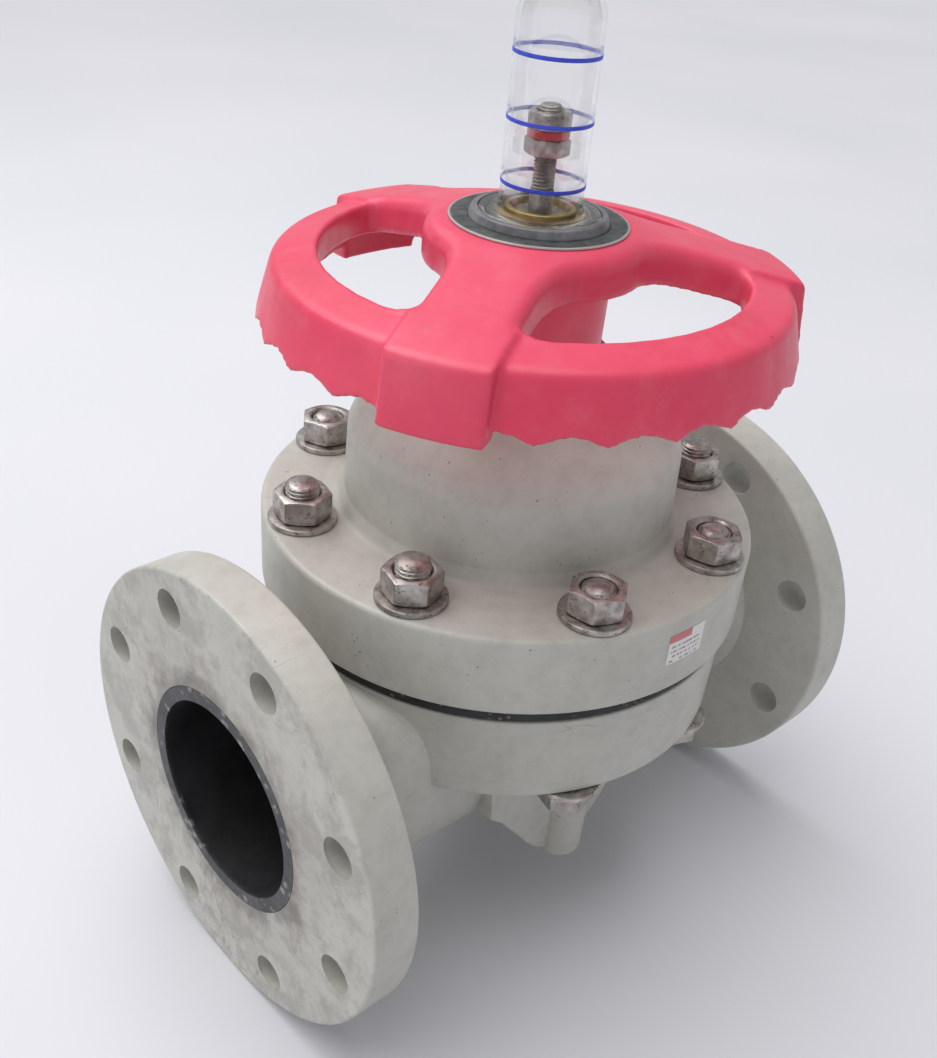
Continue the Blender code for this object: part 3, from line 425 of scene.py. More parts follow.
def scratches(tree, where, scale, stretch, density):
    """Thin dark marks: long, bent noise bands, kept only where a broader noise allows."""
    slide = add_node(tree, "Mapping", {"Scale": stretch, "Vector": where})
    line = add_node(tree, "TexNoise", {"Vector": slide, "Scale": scale, "Detail": 3.0, "Roughness": 0.45})
    thin = add_node(tree, "ValToRGB", {"Fac": line, "stops": [(0.492, 0.0), (0.5, 1.0), (0.508, 0.0)]})
    patch = add_node(tree, "ValToRGB", {
        "Fac": add_node(tree, "TexNoise", {
            "Vector": where, "Scale": scale * 0.5, "Detail": 2.0, "Roughness": 0.5}),
        "stops": [(density, 0.0), (density + 0.05, 1.0)]})
    return add_node(tree, "Math", {"operation": "MULTIPLY", 0: thin, 1: patch})


def specks(tree, where, scale, size, density):
    """Small round dirt specks, one in some of the cells of a fine grid."""
    dots = add_node(tree, "TexVoronoi", {"Scale": scale, "Vector": where})
    near = add_node(tree, "ValToRGB", {"Fac": dots, "stops": [(size * 0.6, 1.0), (size, 0.0)]})
    patch = add_node(tree, "ValToRGB", {
        "Fac": add_node(tree, "TexNoise", {
            "Vector": where, "Scale": scale * 0.35, "Detail": 3.0, "Roughness": 0.5}),
        "stops": [(density, 0.0), (density + 0.04, 1.0)]})
    return add_node(tree, "Math", {"operation": "MULTIPLY", 0: near, 1: patch})


def grey_polypropylene(name, pipe_stain):
    """Moulded PP in pipe grey: waxy and satin, with a fine orange-peel skin. Years outdoors leave
    rub marks, specks, and a brown-black tide on the pipe faces round the lining."""
    made, tree, shader, where = blank_material(name, Roughness=0.4, IOR=1.49)
    cloud = add_node(tree, "ValToRGB", {
        "Fac": add_node(tree, "TexNoise", {
            "Vector": where, "Scale": 14.0, "Detail": 5.0, "Roughness": 0.6}),
        "stops": [(0.3, linear("b6b5ad")), (0.5, linear("c0bfb7")), (0.72, linear("c8c7bf"))]})
    dust = add_node(tree, "ValToRGB", {
        "Fac": add_node(tree, "TexNoise", {
            "Vector": where, "Scale": 120.0, "Detail": 6.0, "Roughness": 0.7}),
        "stops": [(0.45, 0.0), (0.75, 0.35)]})
    colour = add_node(tree, "Mix", {"data_type": "RGBA", 0: dust, 6: cloud, 7: linear("9a958a")}, 2)
    if pipe_stain:
        side = add_node(tree, "Math", {
            "operation": "ABSOLUTE", 0: add_node(tree, "SeparateXYZ", {"Vector": where}, "X")})
        face = add_node(tree, "ValToRGB", {
            "Fac": side, "stops": [((HALF_LENGTH - 1.2) * MM, 0.0), ((HALF_LENGTH - 0.3) * MM, 1.0)]})
        flat = add_node(tree, "VectorMath", {"operation": "SUBTRACT", 1: (0.0, 0.0, AXIS), 0: where})
        flat = add_node(tree, "VectorMath", {"operation": "MULTIPLY", 1: (0.0, 1.0, 1.0), 0: flat})
        reach = add_node(tree, "VectorMath", {"operation": "LENGTH", 0: flat}, "Value")
        wander = add_node(tree, "Math", {
            "operation": "MULTIPLY",
            0: add_node(tree, "TexNoise", {
                "Vector": where, "Scale": 38.0, "Detail": 6.0, "Roughness": 0.65}), 1: 0.06})
        reach = add_node(tree, "Math", {"operation": "ADD", 0: reach, 1: wander})
        tide = add_node(tree, "ValToRGB", {"Fac": reach, "stops": [(0.086, 1.0), (0.122, 0.0)]})
        tide = add_node(tree, "Math", {"operation": "MULTIPLY", 0: tide, 1: face})
        tide = add_node(tree, "Math", {
            "operation": "MULTIPLY", 0: tide,
            1: add_node(tree, "ValToRGB", {
                "Fac": add_node(tree, "TexNoise", {
                    "Vector": where, "Scale": 60.0, "Detail": 6.0, "Roughness": 0.7}),
                "stops": [(0.3, 0.25), (0.6, 1.0)]})})
        colour = add_node(tree, "Mix", {
            "data_type": "RGBA", 0: add_node(tree, "Math", {"operation": "MULTIPLY", 0: tide, 1: 0.9}),
            6: colour, 7: linear("85766a")}, 2)
        smear = add_node(tree, "ValToRGB", {
            "Fac": add_node(tree, "TexNoise", {
                "Vector": where, "Scale": 30.0, "Detail": 7.0, "Roughness": 0.72}),
            "stops": [(0.46, 0.0), (0.58, 0.9)]})
        smear = add_node(tree, "Math", {"operation": "MULTIPLY", 0: smear, 1: face})
        colour = add_node(tree, "Mix", {
            "data_type": "RGBA", 0: add_node(tree, "Math", {"operation": "MULTIPLY", 0: smear, 1: 0.8}),
            6: colour, 7: linear("857e76")}, 2)
        black = add_node(tree, "ValToRGB", {"Fac": reach, "stops": [(0.087, 1.0), (0.096, 0.0)]})
        black = add_node(tree, "Math", {"operation": "MULTIPLY", 0: black, 1: face})
        colour = add_node(tree, "Mix", {
            "data_type": "RGBA", 0: add_node(tree, "Math", {"operation": "MULTIPLY", 0: black, 1: 0.85}),
            6: colour, 7: linear("3a3734")}, 2)
        cuts = scratches(tree, where, 30.0, (1.0, 2.2, 0.5), 0.5)
        cuts = add_node(tree, "Math", {"operation": "MULTIPLY", 0: cuts, 1: face})
        colour = add_node(tree, "Mix", {
            "data_type": "RGBA", 0: add_node(tree, "Math", {"operation": "MULTIPLY", 0: cuts, 1: 0.8}),
            6: colour, 7: linear("4a4744")}, 2)
    marks = scratches(tree, where, 22.0, (0.4, 0.6, 3.0), 0.66)
    colour = add_node(tree, "Mix", {
        "data_type": "RGBA", 0: add_node(tree, "Math", {"operation": "MULTIPLY", 0: marks, 1: 0.45}),
        6: colour, 7: linear("55524c")}, 2)
    colour = add_node(tree, "Mix", {
        "data_type": "RGBA",
        0: add_node(tree, "Math", {
            "operation": "MULTIPLY", 0: specks(tree, where, 330.0, 0.22, 0.62), 1: 0.6}), 6: colour,
        7: linear("5a564f")}, 2)
    tree.links.new(colour, shader.inputs["Base Color"])
    worn = add_node(tree, "ValToRGB", {
        "Fac": add_node(tree, "TexNoise", {
            "Vector": where, "Scale": 45.0, "Detail": 5.0, "Roughness": 0.6}),
        "stops": [(0.3, 0.34), (0.7, 0.5)]})
    tree.links.new(worn, shader.inputs["Roughness"])
    peel = add_node(tree, "Bump", {
        "Height": add_node(tree, "TexNoise", {
            "Vector": where, "Scale": 900.0, "Detail": 2.0, "Roughness": 0.5}), "Distance": 0.06 * MM,
        "Strength": 0.5})
    tree.links.new(add_node(tree, "Bump", {
        "Height": add_node(tree, "TexNoise", {
            "Vector": where, "Scale": 30.0, "Detail": 2.0, "Roughness": 0.5}), "Distance": 0.6 * MM,
        "Strength": 0.25, "Normal": peel}), shader.inputs["Normal"])
    return made


GREY_BODY = grey_polypropylene("moulded_grey_pp_body", True)
fit(casting, "body_casting", "valve_body", "grey_pp", GREY_BODY, "body")

# ---- Lining -------------------------------------------------------------------------------
# A black thermoplastic lining bonded into the passage. It turns out over each pipe face in a
# narrow ring that takes the gasket, and pipe work has scuffed that ring grey.


def block(name, low, high):
    """A box between two corners."""
    size = [(h - l) * MM for l, h in zip(low, high)]
    middle = [(h + l) / 2 * MM for l, h in zip(low, high)]
    bpy.ops.object.select_all(action="DESELECT")
    bpy.ops.mesh.primitive_cube_add(size=1.0, location=(middle[0], middle[1], AXIS + middle[2]))
    piece = bpy.context.object
    piece.name = name
    piece.scale = size
    bpy.ops.object.transform_apply(location=True, rotation=True, scale=True)
    return piece


lining = passage_shape(LINING_T)
for side in (-1, 1):
    ends = sorted((side * (HALF_LENGTH - LIP_T), side * (HALF_LENGTH + 2.0)))
    boolean(lining, drills(LIP_R, *ends, [(0.0, 0.0)], "X", 96), "UNION")
boolean(lining, block("limit", (-HALF_LENGTH, -100.0, -100.0), (HALF_LENGTH, 100.0, TOP_FLANGE_Z - 0.3)),
        "INTERSECT")
boolean(lining, passage_shape(0.0), "DIFFERENCE")
smooth(lining)


def black_lining():
    """Black lining compound: dark satin skin inside, dry grey scuffs on the turned-out rings."""
    made, tree, shader, where = blank_material("lining_compound", Roughness=0.5, IOR=1.5)
    side = add_node(tree, "Math", {
        "operation": "ABSOLUTE", 0: add_node(tree, "SeparateXYZ", {"Vector": where}, "X")})
    face = add_node(tree, "ValToRGB", {
        "Fac": side, "stops": [((HALF_LENGTH - 1.5) * MM, 0.0), (HALF_LENGTH * MM, 1.0)]})
    scuff = add_node(tree, "ValToRGB", {
        "Fac": add_node(tree, "TexNoise", {
            "Vector": where, "Scale": 160.0, "Detail": 7.0, "Roughness": 0.72}),
        "stops": [(0.36, 0.12), (0.7, 0.9)]})
    share = add_node(tree, "Math", {"operation": "MULTIPLY", 0: face, 1: scuff})
    dusty = add_node(tree, "ValToRGB", {
        "Fac": add_node(tree, "TexNoise", {
            "Vector": where, "Scale": 26.0, "Detail": 5.0, "Roughness": 0.6}),
        "stops": [(0.42, linear("18181a")), (0.75, linear("323234"))]})
    colour = add_node(tree, "Mix", {"data_type": "RGBA", 0: share, 6: dusty, 7: linear("6c6c72")}, 2)
    chips = add_node(tree, "Math", {
        "operation": "MULTIPLY", 0: specks(tree, where, 180.0, 0.42, 0.5), 1: face})
    colour = add_node(tree, "Mix", {"data_type": "RGBA", 0: chips, 6: colour, 7: linear("a9a8a4")}, 2)
    tree.links.new(colour, shader.inputs["Base Color"])
    tree.links.new(add_node(tree, "ValToRGB", {
        "Fac": add_node(tree, "TexNoise", {
            "Vector": where, "Scale": 40.0, "Detail": 4.0, "Roughness": 0.5}),
        "stops": [(0.3, 0.42), (0.7, 0.62)]}), shader.inputs["Roughness"])
    tree.links.new(add_node(tree, "Bump", {
        "Height": add_node(tree, "TexNoise", {
            "Vector": where, "Scale": 350.0, "Detail": 5.0, "Roughness": 0.7}), "Distance": 0.3 * MM,
        "Strength": 0.5}), shader.inputs["Normal"])
    return made


fit(lining, "passage_lining", "valve_body", "black_lining", black_lining(), "body_liner")

# ---- Diaphragm ----------------------------------------------------------------------------
# Compression-moulded black rubber, clamped between body and bonnet. Its edge swells a little
# where the bolts squeeze it, and it dishes down to the compressor in the middle.

WEB = 6.0
DISH_Z = 35.0
EDGE_LOW = TOP_FLANGE_Z + 0.3
EDGE_TOP = bonnet_low.z / MM - FLANGE_R - 0.3
upper = []
under = []
for i in range(13):
    share = i / 12
    ease = 0.5 - 0.5 * math.cos(math.pi * share)
    radius = 72.0 + (42.0 - 72.0) * share
    upper.append((radius, EDGE_TOP + (DISH_Z + WEB - EDGE_TOP) * ease))
    under.append((radius, EDGE_LOW + (DISH_Z - EDGE_LOW) * ease))
rim = TOP_FLANGE_R - 0.2
swollen = [(rim - 1.0, EDGE_TOP), (rim - 0.2, EDGE_TOP - 0.8), (rim + 0.2, (EDGE_LOW + EDGE_TOP) / 2),
           (rim - 0.2, EDGE_LOW + 0.8), (rim - 1.0, EDGE_LOW)]
sheet = turned("diaphragm_sheet", [(0.0, DISH_Z + WEB)] + upper[::-1] + swollen + under + [(0.0, DISH_Z)],
               160, closed=False)
boolean(sheet, drills(BOLT_HOLE_R, EDGE_LOW - 5.0, EDGE_TOP + 5.0, [place_of(a) for a in BOLT_ANGLES]),
        "DIFFERENCE")
boolean(sheet, drills(10.3, DISH_Z + WEB - 2.5, DISH_Z + WEB + 5.0, [(0.0, 0.0)]), "DIFFERENCE")
smooth(sheet)


def black_rubber():
    """EPDM-type rubber: near black, matt, with a grey bloom and dust caught in it."""
    made, tree, shader, where = blank_material("moulded_rubber", Roughness=0.72, IOR=1.52)
    bloom = add_node(tree, "ValToRGB", {
        "Fac": add_node(tree, "TexNoise", {
            "Vector": where, "Scale": 50.0, "Detail": 6.0, "Roughness": 0.65}),
        "stops": [(0.35, linear("1d1d1f")), (0.75, linear("38383a"))]})
    dirt = add_node(tree, "Mix", {
        "data_type": "RGBA",
        0: add_node(tree, "Math", {
            "operation": "MULTIPLY", 0: specks(tree, where, 300.0, 0.35, 0.5), 1: 0.6}), 6: bloom,
        7: linear("8a867c")}, 2)
    tree.links.new(dirt, shader.inputs["Base Color"])
    tree.links.new(add_node(tree, "ValToRGB", {
        "Fac": add_node(tree, "TexNoise", {
            "Vector": where, "Scale": 80.0, "Detail": 4.0, "Roughness": 0.5}),
        "stops": [(0.3, 0.6), (0.7, 0.82)]}), shader.inputs["Roughness"])
    tree.links.new(add_node(tree, "Bump", {
        "Height": add_node(tree, "TexNoise", {
            "Vector": where, "Scale": 700.0, "Detail": 4.0, "Roughness": 0.6}), "Distance": 0.2 * MM,
        "Strength": 0.5}), shader.inputs["Normal"])
    return made


RUBBER = black_rubber()
fit(sheet, "diaphragm_sheet", None, "black_rubber", RUBBER, "diaphragm")
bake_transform(sheet)

# ---- Bonnet -------------------------------------------------------------------------------
# The second grey moulding: a thick flange, a straight wall and a sloping roof that ends in the
# bearing seat. Inside, two pairs of rails guide the compressor's fins.

BONNET_LOW = bonnet_low.z / MM - FLANGE_R
BONNET_FLANGE_TOP = BONNET_LOW + 39.1
BONNET_R = bonnet_high.x / MM
BONNET_TOP = bonnet_high.z / MM - FLANGE_R
seat_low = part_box("thrust_ring_lower")[0].z / MM - FLANGE_R - 0.3
cover = turned("bonnet_moulding", rounded([
    (30.0, BONNET_TOP), (39.0, BONNET_TOP, 2.0), (42.0, BONNET_TOP - 4.0, 1.0), (57.0, 170.0, 4.0),
    (75.5, 153.5, 7.0), (80.0, 146.0, 8.0), (81.0, BONNET_FLANGE_TOP + 8.0, 3.0),
    (84.0, BONNET_FLANGE_TOP + 1.0, 4.0), (92.0, BONNET_FLANGE_TOP, 1.0),
    (BONNET_R, BONNET_FLANGE_TOP, 3.0),
    (BONNET_R, BONNET_LOW, 1.5), (75.0, BONNET_LOW), (72.0, BONNET_LOW + 6.0, 2.0), (72.0, 138.0, 3.0),
    (64.0, 148.0, 3.0), (45.0, seat_low - 12.0), (20.6, seat_low - 12.0), (20.6, seat_low),
    (30.0, seat_low)]),
    160)
bolt_places = [place_of(angle) for angle in BOLT_ANGLES]
boolean(cover, drills(BOLT_HOLE_R, BONNET_LOW - 5.0, BONNET_FLANGE_TOP + 5.0, bolt_places), "DIFFERENCE")
for side in (-1, 1):
    for face in (-1, 1):
        xs = sorted((face * 5.3, face * 9.8))
        ys = sorted((side * 56.0, side * 74.0))
        boolean(cover, block("rail", (xs[0], ys[0], BONNET_LOW + 8.0), (xs[1], ys[1], 126.0)), "UNION")
smooth(cover)
GREY_PP = grey_polypropylene("moulded_grey_pp_bonnet", False)
fit(cover, "bonnet_moulding", "valve_body", "grey_pp", GREY_PP, "bonnet")

# ---- Handwheel ----------------------------------------------------------------------------
# Moulded in red polypropylene: a hollow dome with three broad spokes that end in lugs, a rim a
# step lower between them, and finger notches along the rim's lower edge.

HUB_Z = 245.0
HUB_R = 42.0
RIM_R = 122.5
RIM_LOW = 200.0
LUG_R = 126.3
LUG_LOW = 195.5
SLOPE = 20.0 / (126.5 - HUB_R)
RIM_STEP = 2.6
SPOKES = [88.0, 208.0, 328.0]
SPOKE_HALF = 21.0
NOTCHES = 27
WINDOW_FAR_R = 95.0
WINDOW_NEAR_R = 50.0
WINDOW_WALL = 5.0
WHEEL_STEPS = 8 * NOTCHES


def wheel_top(radius):
    return HUB_Z - SLOPE * max(0.0, radius - HUB_R)


def notch_rim(piece, height):
    """Round notches with a cusp between them, cut by moving the lowest ring of the rim."""
    for vertex in piece.data.vertices:
        x, y, z = vertex.co.x / MM, vertex.co.y / MM, (vertex.co.z - AXIS) / MM
        if math.hypot(x, y) > 114.0 and z < RIM_LOW + 8.0:
            wave = math.sqrt(math.sin(NOTCHES * math.atan2(y, x) / 2) ** 2 + 0.03) - 0.1
            vertex.co.z += (height * wave - height / 2) * MM
            vertex.co.x -= x / math.hypot(x, y) * wave * 1.1 * MM
            vertex.co.y -= y / math.hypot(x, y) * wave * 1.1 * MM


def window_ring(direction, grow, lift):
    """The opening between two spokes, grown all round, at a height that follows the wheel's top.
    Its corners are tight at the rim and wide at the hub."""
    far, near, side = WINDOW_FAR_R + grow, WINDOW_NEAR_R - grow, SPOKE_HALF - grow
    corners = []
    for radius, sign in ((far, -1), (far, 1), (near, 1), (near, -1)):
        corners.append((radius, sign * (math.pi / 3 - math.asin(side / radius))))

    def on_side(k, share):
        (r0, a0), (r1, a1) = corners[k % 4], corners[(k + 1) % 4]
        if k % 2 == 0:
            turn = a0 + (a1 - a0) * share
            return Vector((r0 * math.cos(turn), r0 * math.sin(turn)))
        start = Vector((r0 * math.cos(a0), r0 * math.sin(a0)))
        return start.lerp(Vector((r1 * math.cos(a1), r1 * math.sin(a1))), share)

    first, last = (0.1, 0.22, 0.3, 0.42), (0.1, 0.42, 0.3, 0.22)
    plan = []
    for k in range(4):
        plan += [on_side(k, first[k] + (1.0 - first[k] - last[k]) * i / 9) for i in range(10)]
        corner = on_side(k, 1.0)
        after = on_side(k + 1, first[(k + 1) % 4])
        before = on_side(k, 1.0 - last[k])
        for t in (i / 9 for i in range(1, 9)):
            plan.append(before.lerp(corner, t).lerp(corner.lerp(after, t), t))
    ring = []
    base = math.radians(direction)
    for point in plan:
        radius = point.length
        height = lift if lift < HUB_Z - 40.0 else wheel_top(radius) + lift - HUB_Z
        ring.append((point.x * math.cos(base) - point.y * math.sin(base),
                     point.x * math.sin(base) + point.y * math.cos(base), height))
    return ring


def windows(piece, flare):
    """Cuts the three windows: opening out in a curve at the top by flare, or a wall wider if it is 0."""
    for spoke in SPOKES:
        direction = spoke + 60.0
        if flare:
            rings = [window_ring(direction, 0.0, 150.0)]
            for k in range(6):
                t = math.radians(90.0 * k / 5)
                rings.append(window_ring(direction, flare * (1 - math.cos(t)),
                                         HUB_Z - flare + flare * math.sin(t)))
            rings.append(window_ring(direction, flare, HUB_Z + 12.0))
        else:
            rings = [window_ring(direction, WINDOW_WALL, z) for z in (150.0, HUB_Z + 12.0)]
        boolean(piece, lofted("window", rings), "DIFFERENCE")


wheel = turned("handwheel_moulding", rounded([
    (0.0, HUB_Z), (HUB_R, HUB_Z, 4.0), (92.0, wheel_top(92.0)), (97.0, wheel_top(97.0) - RIM_STEP),
    (115.0, wheel_top(115.0) - RIM_STEP, 6.0), (RIM_R, RIM_LOW), (RIM_R - 7.5, RIM_LOW),
    (112.0, 210.0), (95.0, 215.5), (50.0, 226.0), (35.0, 226.0), (34.5, 190.5), (0.0, 190.5)]),
    WHEEL_STEPS, closed=False)
notch_rim(wheel, 4.6)
lugs = turned("lugs", rounded([(0.0, wheel_top(70.0)), (70.0, wheel_top(70.0)), (116.0, wheel_top(116.0)),
                               (LUG_R - 4.0, wheel_top(LUG_R) + 1.0, 6.0), (LUG_R, LUG_LOW, 2.0),
                               (108.0, LUG_LOW), (105.0, 216.5), (0.0, 216.5)]), WHEEL_STEPS, closed=False)
bars = []
for spoke in SPOKES:
    bar = block("bar", (88.0, -22.0, LUG_LOW - 5.0), (LUG_R + 5.0, 22.0, HUB_Z + 5.0))
    edit(bar)
    bpy.ops.transform.rotate(value=-math.radians(spoke), orient_axis="Z", center_override=(0.0, 0.0, AXIS))
    bpy.ops.object.mode_set(mode="OBJECT")
    bars.append(bar)
boolean(lugs, gather("bars", bars), "INTERSECT")
boolean(wheel, lugs, "UNION")
hollow = turned("hollow", [(43.0, wheel_top(43.0) - 6.5), (109.0, wheel_top(109.0) - 8.5), (111.5, 214.0),
                           (114.5, 190.0), (43.0, 190.0)], WHEEL_STEPS)
windows(hollow, 0.0)
boolean(wheel, hollow, "DIFFERENCE")
windows(wheel, 5.5)
step = wheel.modifiers.new("even_skin", "REMESH")
step.mode = "VOXEL"
step.voxel_size = 1.15 * MM
step = wheel.modifiers.new("soft_edges", "SMOOTH")
step.factor = 0.5
step.iterations = 9
bpy.ops.object.select_all(action="DESELECT")
bpy.context.view_layer.objects.active = wheel
for step_name in ("even_skin", "soft_edges"):
    bpy.ops.object.modifier_apply(modifier=step_name)
boolean(wheel, drills(30.3, 237.4, HUB_Z + 5.0, [(0.0, 0.0)], steps=96), "DIFFERENCE")
boolean(wheel, drills(19.9, 185.0, HUB_Z + 5.0, [(0.0, 0.0)], steps=6), "DIFFERENCE")
smooth(wheel, 50.0)


def red_polypropylene():
    """Moulded PP in signal red, gone coral with sun: waxy gloss, scuffs and black rub marks."""
    made, tree, shader, where = blank_material("moulded_red_pp", Roughness=0.3, IOR=1.49)
    cloud = add_node(tree, "ValToRGB", {
        "Fac": add_node(tree, "TexNoise", {
            "Vector": where, "Scale": 16.0, "Detail": 4.0, "Roughness": 0.55}),
        "stops": [(0.3, linear("df3b59")), (0.5, linear("e44362")), (0.7, linear("e84e6a"))]})
    chalk = add_node(tree, "ValToRGB", {
        "Fac": add_node(tree, "TexNoise", {
            "Vector": where, "Scale": 55.0, "Detail": 6.0, "Roughness": 0.7}),
        "stops": [(0.5, 0.0), (0.8, 0.3)]})
    colour = add_node(tree, "Mix", {"data_type": "RGBA", 0: chalk, 6: cloud, 7: linear("ee7f8a")}, 2)
    grime = add_node(tree, "ValToRGB", {
        "Fac": add_node(tree, "TexNoise", {
            "Vector": where, "Scale": 20.0, "Detail": 6.0, "Roughness": 0.65}),
        "stops": [(0.58, 0.0), (0.72, 0.5)]})
    colour = add_node(tree, "Mix", {
        "data_type": "RGBA", 0: add_node(tree, "Math", {"operation": "MULTIPLY", 0: grime, 1: 0.35}),
        6: colour, 7: linear("6a3a44")}, 2)
    rubs = scratches(tree, where, 24.0, (1.0, 1.0, 3.5), 0.68)
    colour = add_node(tree, "Mix", {
        "data_type": "RGBA", 0: add_node(tree, "Math", {"operation": "MULTIPLY", 0: rubs, 1: 0.35}),
        6: colour, 7: linear("4a2530")}, 2)
    colour = add_node(tree, "Mix", {
        "data_type": "RGBA",
        0: add_node(tree, "Math", {
            "operation": "MULTIPLY", 0: specks(tree, where, 240.0, 0.2, 0.66), 1: 0.6}), 6: colour,
        7: linear("4a2028")}, 2)
    tree.links.new(colour, shader.inputs["Base Color"])
    worn = add_node(tree, "ValToRGB", {
        "Fac": add_node(tree, "TexNoise", {
            "Vector": where, "Scale": 60.0, "Detail": 5.0, "Roughness": 0.6}),
        "stops": [(0.3, 0.3), (0.72, 0.45)]})
    tree.links.new(worn, shader.inputs["Roughness"])
    peel = add_node(tree, "Bump", {
        "Height": add_node(tree, "TexNoise", {
            "Vector": where, "Scale": 800.0, "Detail": 2.0, "Roughness": 0.5}), "Distance": 0.05 * MM,
        "Strength": 0.5})
    tree.links.new(add_node(tree, "Bump", {
        "Height": add_node(tree, "TexNoise", {
            "Vector": where, "Scale": 40.0, "Detail": 2.0, "Roughness": 0.5}), "Distance": 0.5 * MM,
        "Strength": 0.2, "Normal": peel}), shader.inputs["Normal"])
    return made


fit(wheel, "handwheel_moulding", "wheel", "red_pp", red_polypropylene(), "handwheel")

# ---- Nuts and washers ---------------------------------------------------------------------
# Stainless M16: cold-formed hexagon nuts, chamfered on both faces and countersunk at the
# thread, each on a plain washer. Every nut stopped at its own angle.

NUT_TURNS = (33.0, 8.0, 52.0, 18.0, 18.0, 37.0, 46.0, 39.0)
M16_FLATS = 24.0
M16_R = 8.0
M16_PITCH = 2.0
M16_THREAD_DEPTH = 1.1


def fine_bevel(piece, width):
    """Every sharp edge broken by a small round of the given width."""
    step = piece.modifiers.new("edge", "BEVEL")
    step.width = width * MM
    step.segments = 2
    step.limit_method = "ANGLE"
    step.angle_limit = math.radians(28.0)
    bpy.ops.object.select_all(action="DESELECT")
    piece.select_set(True)
    bpy.context.view_layer.objects.active = piece
    bpy.ops.object.modifier_apply(modifier=step.name)
    return piece


def hexagon_bar(flats, low, high, centre, turn):
    corner = flats / math.sqrt(3.0)
    ends = []
    for z in (low, high):
        ends.append([(centre[0] + corner * math.cos(math.radians(turn + 60.0 * k)),
                      centre[1] + corner * math.sin(math.radians(turn + 60.0 * k)), z) for k in range(6)])
    return lofted("hexagon", ends)


def nut(flats, low, high, bore, centre, turn, both=True):
    """A hexagon with its corners turned off at both ends, and a countersunk bore."""
    made = hexagon_bar(flats, low, high, centre, turn)
    corner = flats / math.sqrt(3.0)
    flat = flats / 2 * 0.96
    drop = (corner - flat) * 0.5
    foot_drop = drop if both else 0.0
    boolean(made, turned("chamfer", [(0.0, high), (flat, high), (corner + 0.5, high - drop),
                                     (corner + 0.5, low + foot_drop), (flat, low), (0.0, low)],
                         72, centre, closed=False), "INTERSECT")
    if bore:
        sink = bore + 0.9
        boolean(made, turned("bore", [(0.0, high + 1.0), (sink + 1.0, high + 1.0), (bore, high - 0.9),
                                      (bore, low + 0.9), (sink + 1.0, low - 1.0), (0.0, low - 1.0)],
                             48, centre, closed=False), "DIFFERENCE")
    return smooth(fine_bevel(made, 0.25), 30.0)


def stainless(name="stainless_steel", tint="b3ada8", rough=(0.34, 0.5)):
    """Stainless A2: a grey metal with a warm film of tarnish, satin from tumbling, brighter where
    tools and washers have rubbed."""
    made, tree, shader, where = blank_material(name, Metallic=1.0)
    film = add_node(tree, "ValToRGB", {
        "Fac": add_node(tree, "TexNoise", {
            "Vector": where, "Scale": 180.0, "Detail": 6.0, "Roughness": 0.6}),
        "stops": [(0.3, linear("8e8782")), (0.5, linear(tint)), (0.72, linear("cfcac6"))]})
    spots = add_node(tree, "Math", {
        "operation": "MULTIPLY", 0: specks(tree, where, 600.0, 0.4, 0.52), 1: 0.6})
    colour = add_node(tree, "Mix", {"data_type": "RGBA", 0: spots, 6: film, 7: linear("4c4038")}, 2)
    tree.links.new(colour, shader.inputs["Base Color"])
    worn = add_node(tree, "ValToRGB", {
        "Fac": add_node(tree, "TexNoise", {
            "Vector": where, "Scale": 300.0, "Detail": 5.0, "Roughness": 0.6}),
        "stops": [(0.3, rough[0]), (0.7, rough[1])]})
    tree.links.new(worn, shader.inputs["Roughness"])
    tree.links.new(add_node(tree, "Bump", {
        "Height": add_node(tree, "TexNoise", {
            "Vector": where, "Scale": 1400.0, "Detail": 3.0, "Roughness": 0.6}), "Distance": 0.06 * MM,
        "Strength": 0.5}), shader.inputs["Normal"])
    return made


STAINLESS = stainless()


def washer(node, name):
    low, high = [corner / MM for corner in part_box(node)]
    centre = ((low.x + high.x) / 2, (low.y + high.y) / 2)
    bottom = low.z - FLANGE_R
    top = high.z - FLANGE_R
    outline = rounded([(8.6, top), (16.3, top, 0.9), (16.3, bottom, 0.5), (8.6, bottom)], 3)
    made = turned(name, outline, 64, centre)
    fit(smooth(made), name, "valve_body", "stainless", STAINLESS, node)


for number, angle in enumerate(BOLT_ANGLES, 1):
    low, high = [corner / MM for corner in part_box(f"bonnet_nut_{number}")]
    nut_low = low.z - FLANGE_R
    nut_top = high.z - FLANGE_R
    made = nut(M16_FLATS, nut_low, nut_top, M16_R + 0.3, place_of(angle), NUT_TURNS[number - 1])
    fit(made, f"hex_nut_{number}", "valve_body", "stainless", STAINLESS, f"bonnet_nut_{number}")
    washer(f"upper_washer_{number}", f"plain_washer_{number}")
for number in range(1, 5):
    washer(f"lower_washer_{number}", f"head_washer_{number}")

# ---- Bolts and studs ----------------------------------------------------------------------
# Rolled M16 threads, 2 mm pitch. Bolts with a hexagon head and a domed end come up through the
# body where it is clear below, and flat-ended studs stand in inserts over the two necks.


def thread(name, radius, depth, pitch, low, high, centre, steps=40):
    """A rod whose skin is pushed in along a helix, one turn a pitch."""
    rows = max(2, round((high - low) / (pitch / 8)))
    side = [(radius, high + (low - high) * i / rows) for i in range(rows + 1)]
    outline = [(0.0, high)] + side + [(0.0, low)]
    piece = turned(name, outline, steps, centre, closed=False)
    for vertex in piece.data.vertices:
        x, y = vertex.co.x / MM - centre[0], vertex.co.y / MM - centre[1]
        if math.hypot(x, y) > radius * 0.5:
            phase = ((vertex.co.z - AXIS) / MM / pitch - math.atan2(y, x) / (2 * math.pi)) % 1.0
            groove = min(1.0, max(0.0, (abs(2.0 * phase - 1.0) - 0.14) / 0.7))
            share = 1.0 - depth / radius * groove
            vertex.co.x = (centre[0] + x * share) * MM
            vertex.co.y = (centre[1] + y * share) * MM
    return piece


